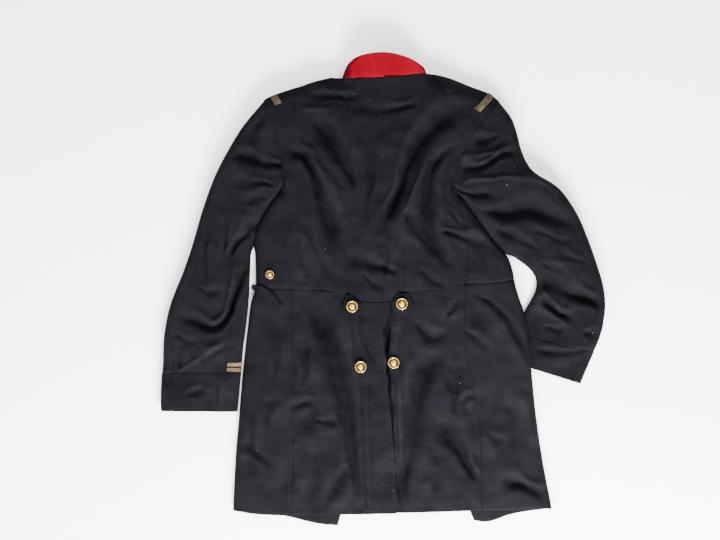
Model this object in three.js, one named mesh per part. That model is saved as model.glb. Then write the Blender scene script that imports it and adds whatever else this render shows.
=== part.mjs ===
// Officer's tunic laid on its front, back uppermost, sleeves beside the skirts.
// Millimetres, +Z up off the table, +Y towards the collar, -X towards the wearer's left sleeve.
import * as THREE from 'three';

// ---- driving dimensions
const wall = 2; // cloth thickness
const laceWall = 1.2; // lace, tabs and other thin trim
const seamGap = 0.35; // clearance between neighbouring pieces
const trimGap = 0.8; // under trim that is laid on the cloth
const foldedTrim = 1.2; // at the side seams, whose two panels bend towards each other
const armholeGap = 0.6; // the same where a sleeve meets the body
const sideRoll = 13; // plan width of the rounded folds at sides and shoulders
const collarRoll = 15; // the same for the stiff collar
const backButton = { radius: 11, height: 6.5, sides: 14 };
const tabButton = { radius: 8, height: 5, sides: 14 };
const frontButton = { radius: 10, height: 4, sides: 10 };
const frontButtonStep = 38; // down the front
const frontButtonCount = 7;
const hindarm = 20; // hindarm seam, in from the sleeve's outer fold
const forearm = 22; // forearm seam, in from the sleeve's inner fold
const frontLap = { left: 12, right: -26 }; // where each front ends, across the middle
const buttonStrip = { lift: 6, half: 14, ramp: 52, from: -20, to: 305 };
const overlapLift = { lift: 4.6, full: 32, none: 84 };
const cuffLift = { lift: 12.9, x: [188, 222], y: [-212, -168, -48, -14] };

// ---- tables, all in millimetres
// Height of the upper layer up the middle of the back.
const crown = [
  { y: -440, height: 15 },
  { y: -120, height: 16 },
  { y: -20, height: 19 },
  { y: 100, height: 25 },
  { y: 250, height: 29 },
  { y: 420, height: 29 },
];

// Largest folds: a path in plan, its depth (below zero for a trough) and half width.
const folds = [
  { path: [[-132, 323], [-99, 280], [-51, 180]], depth: -5, half: 20 },
  { path: [[145, 351], [68, 277], [31, 184], [-10, 108]], depth: -6, half: 22 },
  { path: [[90, 258], [53, 175], [27, 119]], depth: 4, half: 18 },
  { path: [[-186, 253], [-140, 243], [-119, 175], [-86, 77]], depth: -6, half: 20 },
  { path: [[-154, 258], [-99, 203], [-71, 138]], depth: 4, half: 20 },
  { path: [[105, 277], [86, 221], [86, 143]], depth: -6, half: 20 },
  { path: [[45, 143], [77, 101], [127, 40]], depth: -5, half: 20 },
  { path: [[-71, 64], [31, 29]], depth: -3, half: 20 },
  { path: [[-154, 350], [-34, 350]], depth: -3, half: 18 },
  { path: [[151, -1], [188, -19], [210, -47]], depth: -3, half: 18 },
  { path: [[-160, -3], [-114, -66], [-90, -149], [-68, -241], [-55, -334], [-49, -399]], depth: -4.5, half: 22 },
  { path: [[-265, -278], [-201, -334]], depth: -4, half: 18 },
  { path: [[125, -108], [86, -138], [68, -180], [56, -253], [38, -347], [31, -404]], depth: -4, half: 22 },
  { path: [[106, -236], [136, -290], [162, -339], [179, -358]], depth: -4, half: 18 },
  { path: [[221, -351], [258, -365], [301, -382]], depth: -4.5, half: 18 },
  { path: [[253, -179], [268, -253], [290, -299]], depth: 3, half: 18 },
  { path: [[-284, 254], [-247, 243], [-201, 230], [-169, 227]], depth: -6, half: 18 },
  { path: [[-232, 132], [-260, 97], [-288, 58]], depth: -4, half: 16 },
  { path: [[-388, -36], [-339, -62], [-291, -55], [-277, -18], [-264, 23], [-247, 66]], depth: -6, half: 20 },
  { path: [[-388, -154], [-327, -117], [-284, -86]], depth: 3, half: 20 },
  { path: [[166, 273], [197, 277], [216, 288]], depth: -4, half: 16 },
  { path: [[130, 228], [167, 221], [201, 236], [227, 254], [260, 251]], depth: -6, half: 16 },
  { path: [[132, 199], [197, 206], [290, 203], [336, 175]], depth: 4, half: 16 },
  { path: [[171, 151], [234, 140], [264, 158], [301, 143], [364, 117]], depth: -5, half: 18 },
  { path: [[286, 25], [315, 10], [364, -19], [408, -31]], depth: -6, half: 20 },
  { path: [[299, 8], [321, -25], [354, -42]], depth: 3, half: 14 },
  { path: [[293, -5], [323, -45], [345, -53]], depth: -5, half: 14 },
];

// Side folds of the body, from the underarm down to the hem: [x, y].
const sideFold = {
  left: [[-183.5, 189.7], [-188, 181], [-195.5, 173.5], [-204.5, 163], [-217.5, 144.5], [-230, 121], [-237, 97],
    [-239, 66], [-237.5, 32], [-237, 5], [-243, -12], [-247.5, -25], [-249.3, -45], [-252.8, -75], [-256.5, -104],
    [-259.3, -130], [-262.4, -156], [-264.9, -190], [-268.5, -227], [-270, -250], [-275, -304], [-278.5, -371],
    [-280.5, -409]],
  right: [[124.4, 189.9], [134, 177], [149.5, 160], [159.5, 145.5], [172, 126], [189.5, 102], [212.5, 76], [235, 56],
    [242, 32], [245, 8], [249, -10], [256, -19], [267, -75], [275, -158], [282, -216], [291, -282], [302, -349],
    [314, -403]],
};
const shoulderFold = {
  left: [[-219, 349], [-190, 361], [-149, 374], [-119, 384.5], [-99, 389.5], [-79, 389]],
  right: [[211, 349.5], [195, 362], [156, 375], [121, 391], [80, 399]],
};

// Seams of the upper layer, from the waist upwards; the side seam ends at the underarm.
const sideSeam = {
  left: [[-171, 2], [-179, 51], [-185, 105], [-187, 150]],
  right: [[151, 12], [153, 51], [152, 101], [140, 150]],
};
const bodySeam = {
  left: [[-66, -7], [-71, 69], [-80, 119], [-97, 184], [-121, 236], [-154, 265]],
  right: [[37, -4], [40, 92], [49, 156], [68, 206], [97, 247], [127, 267]],
};
const skirtSideSeam = {
  left: [[-170, 1], [-169, -93], [-168, -278], [-173, -419]],
  right: [[151, 11], [150, -75], [160, -149], [175, -225], [179, -306], [182, -410]],
};
const backNeck = [[-79, 389], [-51, 389], [-8, 390.5], [60, 396.5], [80, 399]];
const centreBack = [[-3, -22], [-5, 140], [-1, 391]];
const waist = [[-240, 4.6], [-173, 1.9], [-117, -0.9], [-66, -7.6], [-53, -15], [-41, -20.5], [-28, -23], [8, -22.5],
  [22, -15.5], [37, -4.6], [104, 1], [151, 12], [246, 19.4]];
const waistGap = 0.6; // each side of the waist seam
const vent = [[11, -23], [11, -51], [-4, -77], [2, -117], [5, -149], [10, -204], [18, -278], [25, -416]];
const underlap = { reach: 22, drop: 3.4, open: 19, blend: 14 }; // right back skirt beneath the vent

// Sections of a sleeve from the armhole to the cuff: outer fold, inner fold, height at each, height of
// the underside, and how far the section bows out of its straight line above and below.
const sleeveSections = {
  left: [
    { outer: [-221, 350.6], inner: [-184.1, 189.6], rise: [28, 27], low: 0, bow: [6, 10] },
    { outer: [-243.3, 324.7], inner: [-189.6, 184.1], rise: [27, 27], low: 0, bow: [5, 7] },
    { outer: [-267.3, 295.1], inner: [-197, 176.7], rise: [26, 27], low: 0, bow: [3, 3] },
    { outer: [-293.2, 250.7], inner: [-206.3, 165.6], rise: [26, 26], low: 0, bow: [0, 0] },
    { outer: [-315.4, 206.3], inner: [-219.2, 147.1], rise: [25, 25], low: 0, bow: [0, 0] },
    { outer: [-332, 161.9], inner: [-232.2, 123], rise: [25, 24], low: 0, bow: [0, 0] },
    { outer: [-345, 117.5], inner: [-241.4, 95.3], rise: [24, 23], low: 0, bow: [0, 0] },
    { outer: [-358, 73.1], inner: [-246, 65.7], rise: [24, 22], low: 0, bow: [0, 0] },
    { outer: [-372.8, 28.7], inner: [-247, 32.4], rise: [24, 22], low: 0, bow: [0, 0] },
    { outer: [-393.1, -15.7], inner: [-247.9, -4.6], rise: [24, 21], low: 0, bow: [0, 0] },
    { outer: [-404.2, -60.1], inner: [-251.4, -45.3], rise: [23, 20], low: 0, bow: [0, 0] },
    { outer: [-409.8, -104.5], inner: [-257.2, -89.7], rise: [22, 19], low: 0, bow: [0, 0] },
    { outer: [-408.9, -134.1], inner: [-261.5, -126.7], rise: [21, 19], low: 1.4, bow: [0, 0] },
    { outer: [-411.6, -157], inner: [-264.4, -156.3], rise: [20, 18], low: 1.4, bow: [4, 4] },
    { outer: [-412.9, -189.6], inner: [-267.4, -189.6], rise: [20, 18], low: 1.4, bow: [4, 4] },
    { outer: [-412.9, -224.8], inner: [-271.5, -226.6], rise: [20, 18], low: 1.4, bow: [0, 0] },
  ],
  right: [
    { outer: [212.5, 349.5], inner: [124.9, 189.6], rise: [28, 27], low: 0, bow: [-12, -8] },
    { outer: [232.2, 328.4], inner: [127.5, 188.7], rise: [27, 27], low: 0, bow: [-9, -6] },
    { outer: [247, 300.6], inner: [131.8, 185.9], rise: [26, 27], low: 0, bow: [-5, -3] },
    { outer: [250.5, 272.9], inner: [137.8, 180.4], rise: [26, 27], low: 0, bow: [-2, 0] },
    { outer: [263, 243.3], inner: [145.4, 173], rise: [26, 26], low: 0, bow: [0, 0] },
    { outer: [275, 219.2], inner: [153.6, 161.9], rise: [26, 26], low: 0, bow: [0, 0] },
    { outer: [300, 206], inner: [162.9, 148.9], rise: [25, 25], low: 0, bow: [0, 0] },
    { outer: [328.4, 187.6], inner: [175.8, 130.4], rise: [25, 24], low: 0, bow: [0, 0] },
    { outer: [350.6, 156.3], inner: [193.8, 106.4], rise: [24, 23], low: 0, bow: [0, 0] },
    { outer: [370.9, 121.2], inner: [216.5, 80.5], rise: [24, 22], low: 0, bow: [0, 0] },
    { outer: [385, 78.6], inner: [241.4, 59], rise: [24, 22], low: 0, bow: [0, 0] },
    { outer: [401.5, 36.1], inner: [271, 41.6], rise: [24, 22], low: 0, bow: [0, 0] },
    { outer: [413.5, -12], inner: [288.5, 13.9], rise: [24, 21], low: 0, bow: [0, 0] },
    { outer: [411.6, -52.7], inner: [277, -14], rise: [22, 13], low: 0, bow: [0, 0] },
    { outer: [404.2, -87.9], inner: [260.5, -45.3], rise: [19, 8], low: 1.4, bow: [0, 0] },
    { outer: [391.3, -115.6], inner: [243.3, -74.9], rise: [17, 8], low: 1.4, bow: [4, 4] },
    { outer: [378.5, -145], inner: [236, -103], rise: [17, 8], low: 1.4, bow: [4, 4] },
    { outer: [365.4, -174.8], inner: [228.5, -132.3], rise: [17, 8], low: 1.4, bow: [0, 0] },
  ],
};
const cuffRows = 2; // the last sections of each sleeve belong to its cuff
const cuffProud = 1;

// Stand collar, from its seam to its top edge.
const collarSections = [
  { outer: [-77.5, 389.3], inner: [80, 399.3], rise: [30, 30], low: 0, bow: [-2.6, -74] },
  { outer: [-73.5, 404], inner: [79, 406], rise: [31, 31], low: 0, bow: [2, -70] },
  { outer: [-67, 418], inner: [74, 412.5], rise: [33, 33], low: 0, bow: [9, -66] },
  { outer: [-54, 427.5], inner: [62, 419.5], rise: [35, 35], low: 0, bow: [12, -62] },
];

// Vent flaps on the back skirts, from the waist to the hem: y, left edge, right edge.
const ventFlap = {
  left: [
    { y: -10, from: -67, to: -61 },
    { y: -18, from: -72, to: -51 },
    { y: -26, from: -76, to: -40 },
    { y: -32, from: -78, to: -38.5 },
    { y: -43, from: -70, to: -41 },
    { y: -66, from: -61, to: -42 },
    { y: -93, from: -57, to: -39.5 },
    { y: -112, from: -55, to: -32 },
    { y: -127, from: -54, to: -23 },
    { y: -139, from: -53, to: -15 },
    { y: -149, from: -51, to: -18.5 },
    { y: -164, from: -45, to: -23.5 },
    { y: -179, from: -42, to: -25 },
    { y: -220, from: -40, to: -24.5 },
    { y: -278, from: -38, to: -22.5 },
    { y: -345, from: -35, to: -20 },
    { y: -411, from: -32, to: -17 },
  ],
  right: [
    { y: -7, from: 27, to: 46 },
    { y: -16, from: 20, to: 51 },
    { y: -25, from: 15, to: 56 },
    { y: -38, from: 15, to: 49 },
    { y: -56, from: 15, to: 40 },
    { y: -84, from: 14, to: 35 },
    { y: -112, from: 11, to: 31.5 },
    { y: -125, from: 8, to: 31 },
    { y: -136, from: 7.5, to: 31 },
    { y: -149, from: 9.5, to: 33 },
    { y: -164, from: 15, to: 36 },
    { y: -179, from: 20, to: 37 },
    { y: -220, from: 22, to: 38 },
    { y: -278, from: 25, to: 40 },
    { y: -345, from: 29, to: 43 },
    { y: -407, from: 32, to: 46 },
  ],
};
const flapButtons = {
  left: [[-58, -31.5], [-42.5, -142.6]],
  right: [[33.7, -26.5], [18.9, -135.4]],
};

// Trim laid on the upper layer: two long edges, each with the same number of points.
const shoulderLoop = {
  left: { from: [[-210, 355.5], [-205, 347.5], [-200, 339]], to: [[-197, 360.5], [-192, 352], [-187, 343]] },
  right: { from: [[194, 363], [181, 347], [166.5, 333.5]], to: [[204, 355], [191.5, 340.5], [177.5, 326.5]] },
};
const shoulderPatch = {
  left: { from: [[-147, 373.5], [-118, 383.5]], to: [[-143, 367], [-114, 378.5]] },
  right: { from: [[92, 395], [105, 377], [117, 361.5]], to: [[121, 389.5], [138, 381], [156, 372.5]] },
};
const patchClear = { left: -0.3, right: 0.3 }; // the left one hangs over the shoulder's rounding
const beltTab = {
  from: [[-245, 3], [-236, -6.5], [-225, -23], [-214, -37], [-206, -46.5]],
  to: [[-243, 10.5], [-225, 6], [-210, -1], [-197, -15.5], [-187, -30.5]],
};
const beltTabButton = [-210, 27.5];
const braidRows = [[0.28, 0.53], [0.63, 0.88]]; // along the last sleeve section before the cuff
const braidReach = { above: { left: 26, right: 8 }, below: 30 }; // over the inner fold, and short of the outer one

// ---- materials
const cloth = (name, colour, roughness, metalness = 0) =>
  new THREE.MeshStandardMaterial({ name, color: colour, roughness, metalness });
const blackCloth = cloth('black_cloth', 0x25262c, 0.85);
const redCloth = cloth('red_cloth', 0xd01822, 0.8);
const goldLace = cloth('gold_lace', 0xa08a5a, 0.6, 0.5);
const brass = cloth('brass', 0xd8b060, 0.3, 1);

// ---- small helpers
const mix = (a, b, t) => a + (b - a) * t;
const clamp = (t) => Math.min(1, Math.max(0, t));
const ease = (t) => clamp(t) * clamp(t) * (3 - 2 * clamp(t));
const steps = (from, to, count) => Array.from({ length: count + 1 }, (_, i) => mix(from, to, i / count));

/** Value of `key` at `at` in rows sorted by `by`, straight between rows. */
function between(rows, by, key, at) {
  const next = rows.findIndex((row) => row[by] >= at);
  if (next === 0) return rows[0][key];
  if (next < 0) return rows.at(-1)[key];
  const [a, b] = [rows[next - 1], rows[next]];
  return mix(a[key], b[key], (at - a[by]) / (b[by] - a[by]));
}

/** Smooth curve through [x, y] points, as a function of 0..1. */
function smooth(points) {
  const curve = new THREE.CatmullRomCurve3(points.map(([x, y]) => new THREE.Vector3(x, y, 0)), false, 'centripetal');
  return (t) => curve.getPointAt(clamp(t));
}

/** Curves end to end, each given its share of 0..1. */
function joined(...parts) {
  return (t) => {
    let start = 0;
    for (const [curve, share] of parts) {
      if (t <= start + share + 1e-9) return curve((t - start) / share);
      start += share;
    }
    return parts.at(-1)[0](1);
  };
}

const line = (a, b) => (t) => new THREE.Vector3(mix(a[0], b[0], t), mix(a[1], b[1], t), 0);
const reversed = (curve) => (t) => curve(1 - t);
const stretch = (curve, from, to) => (t) => curve(mix(from, to, t));

/** Patch filled in between four boundary curves that share corners. */
function coons(bottom, top, left, right) {
  const corners = [bottom(0), bottom(1), top(0), top(1)];
  return (u, v) => {
    const p = bottom(u).multiplyScalar(1 - v).addScaledVector(top(u), v);
    p.addScaledVector(left(v), 1 - u).addScaledVector(right(v), u);
    p.addScaledVector(corners[0], -(1 - u) * (1 - v)).addScaledVector(corners[1], -u * (1 - v));
    return p.addScaledVector(corners[2], -(1 - u) * v).addScaledVector(corners[3], -u * v);
  };
}

/** Nearest place on a path of [x, y] points: distance, share of its length, and the foot. */
function nearest(path, x, y) {
  let best = { distance: Infinity };
  let walked = 0;
  for (let i = 1; i < path.length; i++) {
    const [[ax, ay], [bx, by]] = [path[i - 1], path[i]];
    const length = Math.hypot(bx - ax, by - ay);
    const t = clamp(((x - ax) * (bx - ax) + (y - ay) * (by - ay)) / (length * length));
    const foot = [mix(ax, bx, t), mix(ay, by, t)];
    const distance = Math.hypot(x - foot[0], y - foot[1]);
    if (distance < best.distance) best = { distance, along: walked + t * length, foot };
    walked += length;
  }
  return { ...best, share: best.along / walked };
}

/** Height that the folds add at a place. */
function relief(x, y) {
  return folds.reduce((sum, fold) => {
    const { distance, share } = nearest(fold.path, x, y);
    if (distance >= fold.half) return sum;
    const fade = ease(share / 0.2) * ease((1 - share) / 0.2);
    return sum + fold.depth * fade * 0.5 * (1 + Math.cos((Math.PI * distance) / fold.half));
  }, 0);
}

// ---- the body's two layers
const closings = [sideFold.left, sideFold.right, shoulderFold.left, shoulderFold.right];
const edgeX = (side, y) => {
  const rows = [...sideFold[side]].reverse().map(([x, at]) => ({ y: at, x }));
  return between(rows, 'y', 'x', y);
};
const waistY = (x) => between(waist.map(([at, y]) => ({ x: at, y })), 'x', 'y', x);
const underarmY = sideFold.left[0][1];

function lowHeight(side, x, y) {
  const along = ease((y - buttonStrip.from) / 25) * ease((buttonStrip.to - y) / 25);
  const across = ease((buttonStrip.half + buttonStrip.ramp - Math.abs(x)) / buttonStrip.ramp);
  let low = buttonStrip.lift * along * across;
  if (side === 'right') {
    const overlap = ease((overlapLift.none - x) / (overlapLift.none - overlapLift.full));
    const nearWaist = ease((y + 14) / 12);
    const over = ease((x - cuffLift.x[0]) / (cuffLift.x[1] - cuffLift.x[0]));
    const rows = cuffLift.y;
    const beside = ease((y - rows[0]) / (rows[1] - rows[0])) * ease((rows[3] - y) / (rows[3] - rows[2]));
    low += overlapLift.lift * overlap * nearWaist + cuffLift.lift * over * beside;
  }
  return low;
}

function topHeight(x, y) {
  const side = x < 0 ? 'left' : 'right';
  const over = side === 'right' ? lowHeight(side, x, Math.min(y, -14)) * ease((x - cuffLift.x[0]) / 30) : 0;
  return between(crown, 'y', 'height', y) + relief(x, y) + 0.75 * over;
}

/** A point of the body's cloth; near the folds the two layers bend to meet half way up. */
function bodyPoint(side, layer, x, y, depth, drop = 0) {
  let close = { distance: Infinity };
  for (const path of closings) {
    const found = nearest(path, x, y);
    if (found.distance < close.distance) close = found;
  }
  const c = clamp(1 - close.distance / sideRoll);
  const s = Math.sqrt(1 - c * c);
  const inward = close.distance > 1e-4
    ? [(x - close.foot[0]) / close.distance, (y - close.foot[1]) / close.distance]
    : [x < 0 ? 1 : -1, 0];
  const [high, low] = [topHeight(x, y) - drop, lowHeight(side, x, y)];
  const middle = (topHeight(x, y) + low) / 2;
  const z = layer === 'upper'
    ? middle + Math.max(seamGap, (high - middle - depth) * s)
    : middle - (middle - low - depth) * s;
  return new THREE.Vector3(x + inward[0] * depth * c, y + inward[1] * depth * c, z);
}

// ---- sleeves, cuffs and collar: loops through their sections
function sectionAt(sections, at) {
  const i = Math.min(Math.floor(at), sections.length - 2);
  const t = at - i;
  const rows = [i - 1, i, i + 1, i + 2].map((k) => sections[Math.min(sections.length - 1, Math.max(0, k))]);
  const spline = (read) => {
    const [a, b, c, d] = rows.map(read);
    return 0.5 * (2 * b + (c - a) * t + (2 * a - 5 * b + 4 * c - d) * t * t + (3 * b - a - 3 * c + d) * t ** 3);
  };
  const straight = (read) => mix(read(rows[1]), read(rows[2]), t);
  return {
    outer: [0, 1].map((k) => spline((row) => row.outer[k])),
    inner: [0, 1].map((k) => spline((row) => row.inner[k])),
    rise: [0, 1].map((k) => straight((row) => row.rise[k])),
    bow: [0, 1].map((k) => straight((row) => row.bow[k])),
    low: straight((row) => row.low),
  };
}

const widthOf = (section) =>
  Math.hypot(section.inner[0] - section.outer[0], section.inner[1] - section.outer[1]);

/** Point on a section's loop: `run` goes over the top from the outer fold to the inner one and back below. */
function loopPoint(section, run, depth, roll, folded) {
  const width = widthOf(section);
  const turn = ((run % (2 * width)) + 2 * width) % (2 * width);
  const upper = turn <= width;
  const across = upper ? turn : 2 * width - turn;
  const fromEnd = Math.min(across, width - across);
  const c = clamp(1 - fromEnd / roll);
  const s = Math.sqrt(1 - c * c);
  const shifted = across + (across < width / 2 ? 1 : -1) * depth * c;
  const dir = [0, 1].map((k) => (section.inner[k] - section.outer[k]) / width);
  const bow = section.bow[upper ? 0 : 1] * Math.sin((Math.PI * across) / width);
  const x = section.outer[0] + dir[0] * shifted - dir[1] * bow;
  const y = section.outer[1] + dir[1] * shifted + dir[0] * bow;
  const high = mix(section.rise[0], section.rise[1], across / width) + (folded ? relief(x, y) : 0);
  const middle = (high + section.low) / 2;
  const z = upper ? middle + (high - middle - depth) * s : middle - (middle - section.low - depth) * s;
  return new THREE.Vector3(x, y, z);
}

// ---- building meshes
const garment = new THREE.Group();
const upperFaces = []; // triangles that trim may rest on
const underFaces = [];

function addMesh(name, positions, indices, material) {
  let volume = 0;
  const at = (i) => new THREE.Vector3().fromArray(positions, i * 3);
  for (let i = 0; i < indices.length; i += 3) {
    volume += at(indices[i]).dot(at(indices[i + 1]).cross(at(indices[i + 2])));
  }
  if (volume < 0) {
    for (let i = 0; i < indices.length; i += 3) {
      [indices[i + 1], indices[i + 2]] = [indices[i + 2], indices[i + 1]];
    }
  }
  const geometry = new THREE.BufferGeometry();
  geometry.setAttribute('position', new THREE.Float32BufferAttribute(positions, 3));
  geometry.setIndex(indices);
  geometry.computeVertexNormals();
  const mesh = new THREE.Mesh(geometry, material);
  mesh.name = name;
  garment.add(mesh);
}

/** Closed wall between an outer and an inner grid of points of the same size. */
function clothWall(name, outer, inner, material) {
  const [rows, columns] = [outer.length, outer[0].length];
  const positions = [...outer.flat(), ...inner.flat()].flatMap((p) => [p.x, p.y, p.z]);
  const index = (layer, i, j) => layer * rows * columns + i * columns + j;
  const indices = [];
  const quad = (a, b, c, d) => indices.push(a, b, c, a, c, d);
  for (let i = 0; i + 1 < rows; i++) {
    for (let j = 0; j + 1 < columns; j++) {
      quad(index(0, i, j), index(0, i, j + 1), index(0, i + 1, j + 1), index(0, i + 1, j));
      quad(index(1, i, j), index(1, i + 1, j), index(1, i + 1, j + 1), index(1, i, j + 1));
      const faces = [[outer[i][j], outer[i][j + 1], outer[i + 1][j + 1]],
        [outer[i][j], outer[i + 1][j + 1], outer[i + 1][j]]];
      upperFaces.push(...faces);
      underFaces.push(...faces);
    }
  }
  const rim = [];
  for (let j = 0; j + 1 < columns; j++) rim.push([0, j]);
  for (let i = 0; i + 1 < rows; i++) rim.push([i, columns - 1]);
  for (let j = columns - 1; j > 0; j--) rim.push([rows - 1, j]);
  for (let i = rows - 1; i > 0; i--) rim.push([i, 0]);
  rim.forEach(([i, j], k) => {
    const [ni, nj] = rim[(k + 1) % rim.length];
    quad(index(0, i, j), index(1, i, j), index(1, ni, nj), index(0, ni, nj));
  });
  addMesh(name, positions, indices, material);
}

/** Pulls a grid's border in along the surface by half a seam gap, leaving its form. */
function trimBorder(place, us, vs, gap = seamGap) {
  const pull = (list, k, span) => {
    if (k === 0) return list[0] + (gap / span) * (list[1] - list[0]);
    if (k === list.length - 1) return list[k] - (gap / span) * (list[k] - list[k - 1]);
    return list[k];
  };
  const size = (a, b) => Math.max(a.distanceTo(b), gap * 4);
  return vs.map((v, j) => us.map((u, i) => {
    const nearU = i === 0 ? us[1] : us[us.length - 2];
    const nearV = j === 0 ? vs[1] : vs[vs.length - 2];
    const here = place(u, v);
    const edgeU = i === 0 || i === us.length - 1;
    const edgeV = j === 0 || j === vs.length - 1;
    return [
      edgeU ? pull(us, i, size(here, place(nearU, v))) : u,
      edgeV ? pull(vs, j, size(here, place(u, nearV))) : v,
    ];
  }));
}

/** Panel wholly in the upper layer, filled in between its seams. */
function upperPanel(name, side, patch, across, along, drop = () => 0) {
  const cells = trimBorder(patch, steps(0, 1, across), steps(0, 1, along));
  const grid = (depth) => cells.map((row) => row.map(([u, v]) => {
    const p = patch(u, v);
    return bodyPoint(side, 'upper', p.x, p.y, depth, drop(p.x, p.y));
  }));
  clothWall(name, grid(0), grid(wall), blackCloth);
}

/** Panel that starts at a side seam above, rounds the side fold and runs on below.
    Its patch is laid out flat: what lies above is opened outwards about the fold. */
function foldedPanel(name, side, patch, counts, along) {
  const outward = side === 'left' ? -1 : 1;
  const rollStops = [-1, -0.5, -0.13, 0, 0.13, 0.5, 1].map((k) => k * sideRoll);
  const place = (v, start, above, run, span, depth) => {
    const p = patch((run + above) / span, v);
    if (start.y > underarmY - 1) return bodyPoint(side, 'under', p.x, p.y, depth);
    const turned = run < 0 ? clamp(1 + run / above) : 1; // 0 at the side seam, 1 at the fold
    const y = mix(start.y, p.y, turned * turned);
    const x = run <= sideRoll ? edgeX(side, y) - outward * Math.abs(run) : p.x;
    return bodyPoint(side, run < 0 ? 'upper' : 'under', x, y, depth);
  };
  const runsFor = (start, above, span) => {
    const near = counts.above + rollStops.length - 1; // columns that bunch round the side fold
    if (start.y > underarmY - 1) {
      const reach = span * mix(0.12, near / (near + counts.below), ease((start.y - underarmY) / 150)) - above;
      return [...steps(-above, reach, near), ...steps(reach, span - above, counts.below).slice(1)];
    }
    const first = Math.max(-sideRoll, -above + 2 * counts.above);
    const stops = rollStops.map((d, k) => Math.max(d, first + 1.6 * k));
    return [...steps(-above, first, counts.above), ...stops.slice(1, -1),
      ...steps(stops.at(-1), span - above, counts.below)];
  };
  const grid = (depth) => steps(0, 1, along).map((v, j) => {
    const near = patch(0.5, v).distanceTo(patch(0.5, v + (j === 0 ? 1 : -1) / along));
    const pulled = v + (seamGap / near) * ((j === 0) - (j === along)) / along;
    const start = patch(0, v);
    const span = Math.abs(patch(1, v).x - start.x);
    const above = (start.x - edgeX(side, start.y)) * outward;
    const runs = runsFor(start, above, span);
    return runs.map((run, i) => {
      const kept = run + foldedTrim * ((i === 0) - (i === runs.length - 1));
      return place(pulled, start, above, kept, span, depth);
    });
  });
  clothWall(name, grid(0), grid(wall), blackCloth);
}

/** Stretch of a tube, between two runs round its sections and two places along them. */
function loopPanel(name, sections, place, material) {
  const { along, runs, depths, roll, folded } = place;
  const grid = (depth) => along.map((at) => {
    const section = sectionAt(sections, at);
    return runs(widthOf(section)).map((run) => loopPoint(section, run, depth, roll, folded));
  });
  clothWall(name, grid(depths[0]), grid(depths[1]), material);
}

// ---- laying trim on what is already there
function facetHeight(faces, x, y, pick) {
  let best = null;
  for (const [a, b, c] of faces) {
    if (Math.max(a.x, b.x, c.x) < x || Math.min(a.x, b.x, c.x) > x) continue;
    if (Math.max(a.y, b.y, c.y) < y || Math.min(a.y, b.y, c.y) > y) continue;
    const area = (b.x - a.x) * (c.y - a.y) - (c.x - a.x) * (b.y - a.y);
    if (Math.abs(area) < 1e-6) continue;
    const s = ((x - a.x) * (c.y - a.y) - (c.x - a.x) * (y - a.y)) / area;
    const t = ((b.x - a.x) * (y - a.y) - (x - a.x) * (b.y - a.y)) / area;
    if (s < -1e-6 || t < -1e-6 || s + t > 1 + 1e-6) continue;
    const z = a.z + s * (b.z - a.z) + t * (c.z - a.z);
    if (best === null || pick(z, best)) best = z;
  }
  return best;
}
const gapReach = 1.6; // looks past the gap of a seam
const steepest = 0.4; // slope that stiff trim can take before it bridges a dip
const highest = (x, y) => [[0, 0], [gapReach, 0], [-gapReach, 0], [0, gapReach], [0, -gapReach]]
  .map(([dx, dy]) => facetHeight(upperFaces, x + dx, y + dy, (z, best) => z > best))
  .reduce((best, z) => (best === null || (z !== null && z > best) ? z : best), null);
const lowest = (x, y) => facetHeight(underFaces, x, y, (z, best) => z < best);

/** Strip between two edges, resting on the highest cloth under each of its cells. */
function laidStrip(name, patch, across, along, thickness, material, clear = trimGap) {
  const flat = steps(0, 1, along).map((v) => steps(0, 1, across).map((u) => patch(u, v)));
  const rest = flat.map((row) => row.map((p) => highest(p.x, p.y)));
  const known = rest.flat().filter((z) => z !== null);
  const fallback = known.reduce((sum, z) => sum + z, 0) / known.length;
  const height = rest.map((row) => row.map((z) => z ?? fallback));
  const fine = steps(0, 1, 6);
  for (let pass = 0; pass < 3; pass++) {
    for (let i = 0; i < along; i++) {
      for (let j = 0; j < across; j++) {
        const corners = [[i, j], [i, j + 1], [i + 1, j], [i + 1, j + 1]];
        let short = 0;
        for (const s of fine) {
          for (const t of fine) {
            const shares = [(1 - s) * (1 - t), (1 - s) * t, s * (1 - t), s * t];
            const blend = (read) => corners.reduce((sum, [r, c], k) => sum + shares[k] * read(r, c), 0);
            const under = highest(blend((r, c) => flat[r][c].x), blend((r, c) => flat[r][c].y));
            if (under !== null) short = Math.max(short, under - blend((r, c) => height[r][c]));
          }
        }
        corners.forEach(([r, c]) => { height[r][c] += short; });
      }
    }
  }
  for (let pass = 0; pass < along; pass++) {
    for (let i = 0; i <= along; i++) {
      for (let j = 0; j <= across; j++) {
        for (const [r, c] of [[i - 1, j], [i + 1, j], [i, j - 1], [i, j + 1]]) {
          if (r < 0 || c < 0 || r > along || c > across) continue;
          const bridged = height[r][c] - steepest * flat[i][j].distanceTo(flat[r][c]);
          height[i][j] = Math.max(height[i][j], bridged);
        }
      }
    }
  }
  const grid = (lift) => flat.map((row, i) => row.map((p, j) => new THREE.Vector3(p.x, p.y, height[i][j] + lift)));
  clothWall(name, grid(clear + thickness), grid(clear), material);
}

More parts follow.
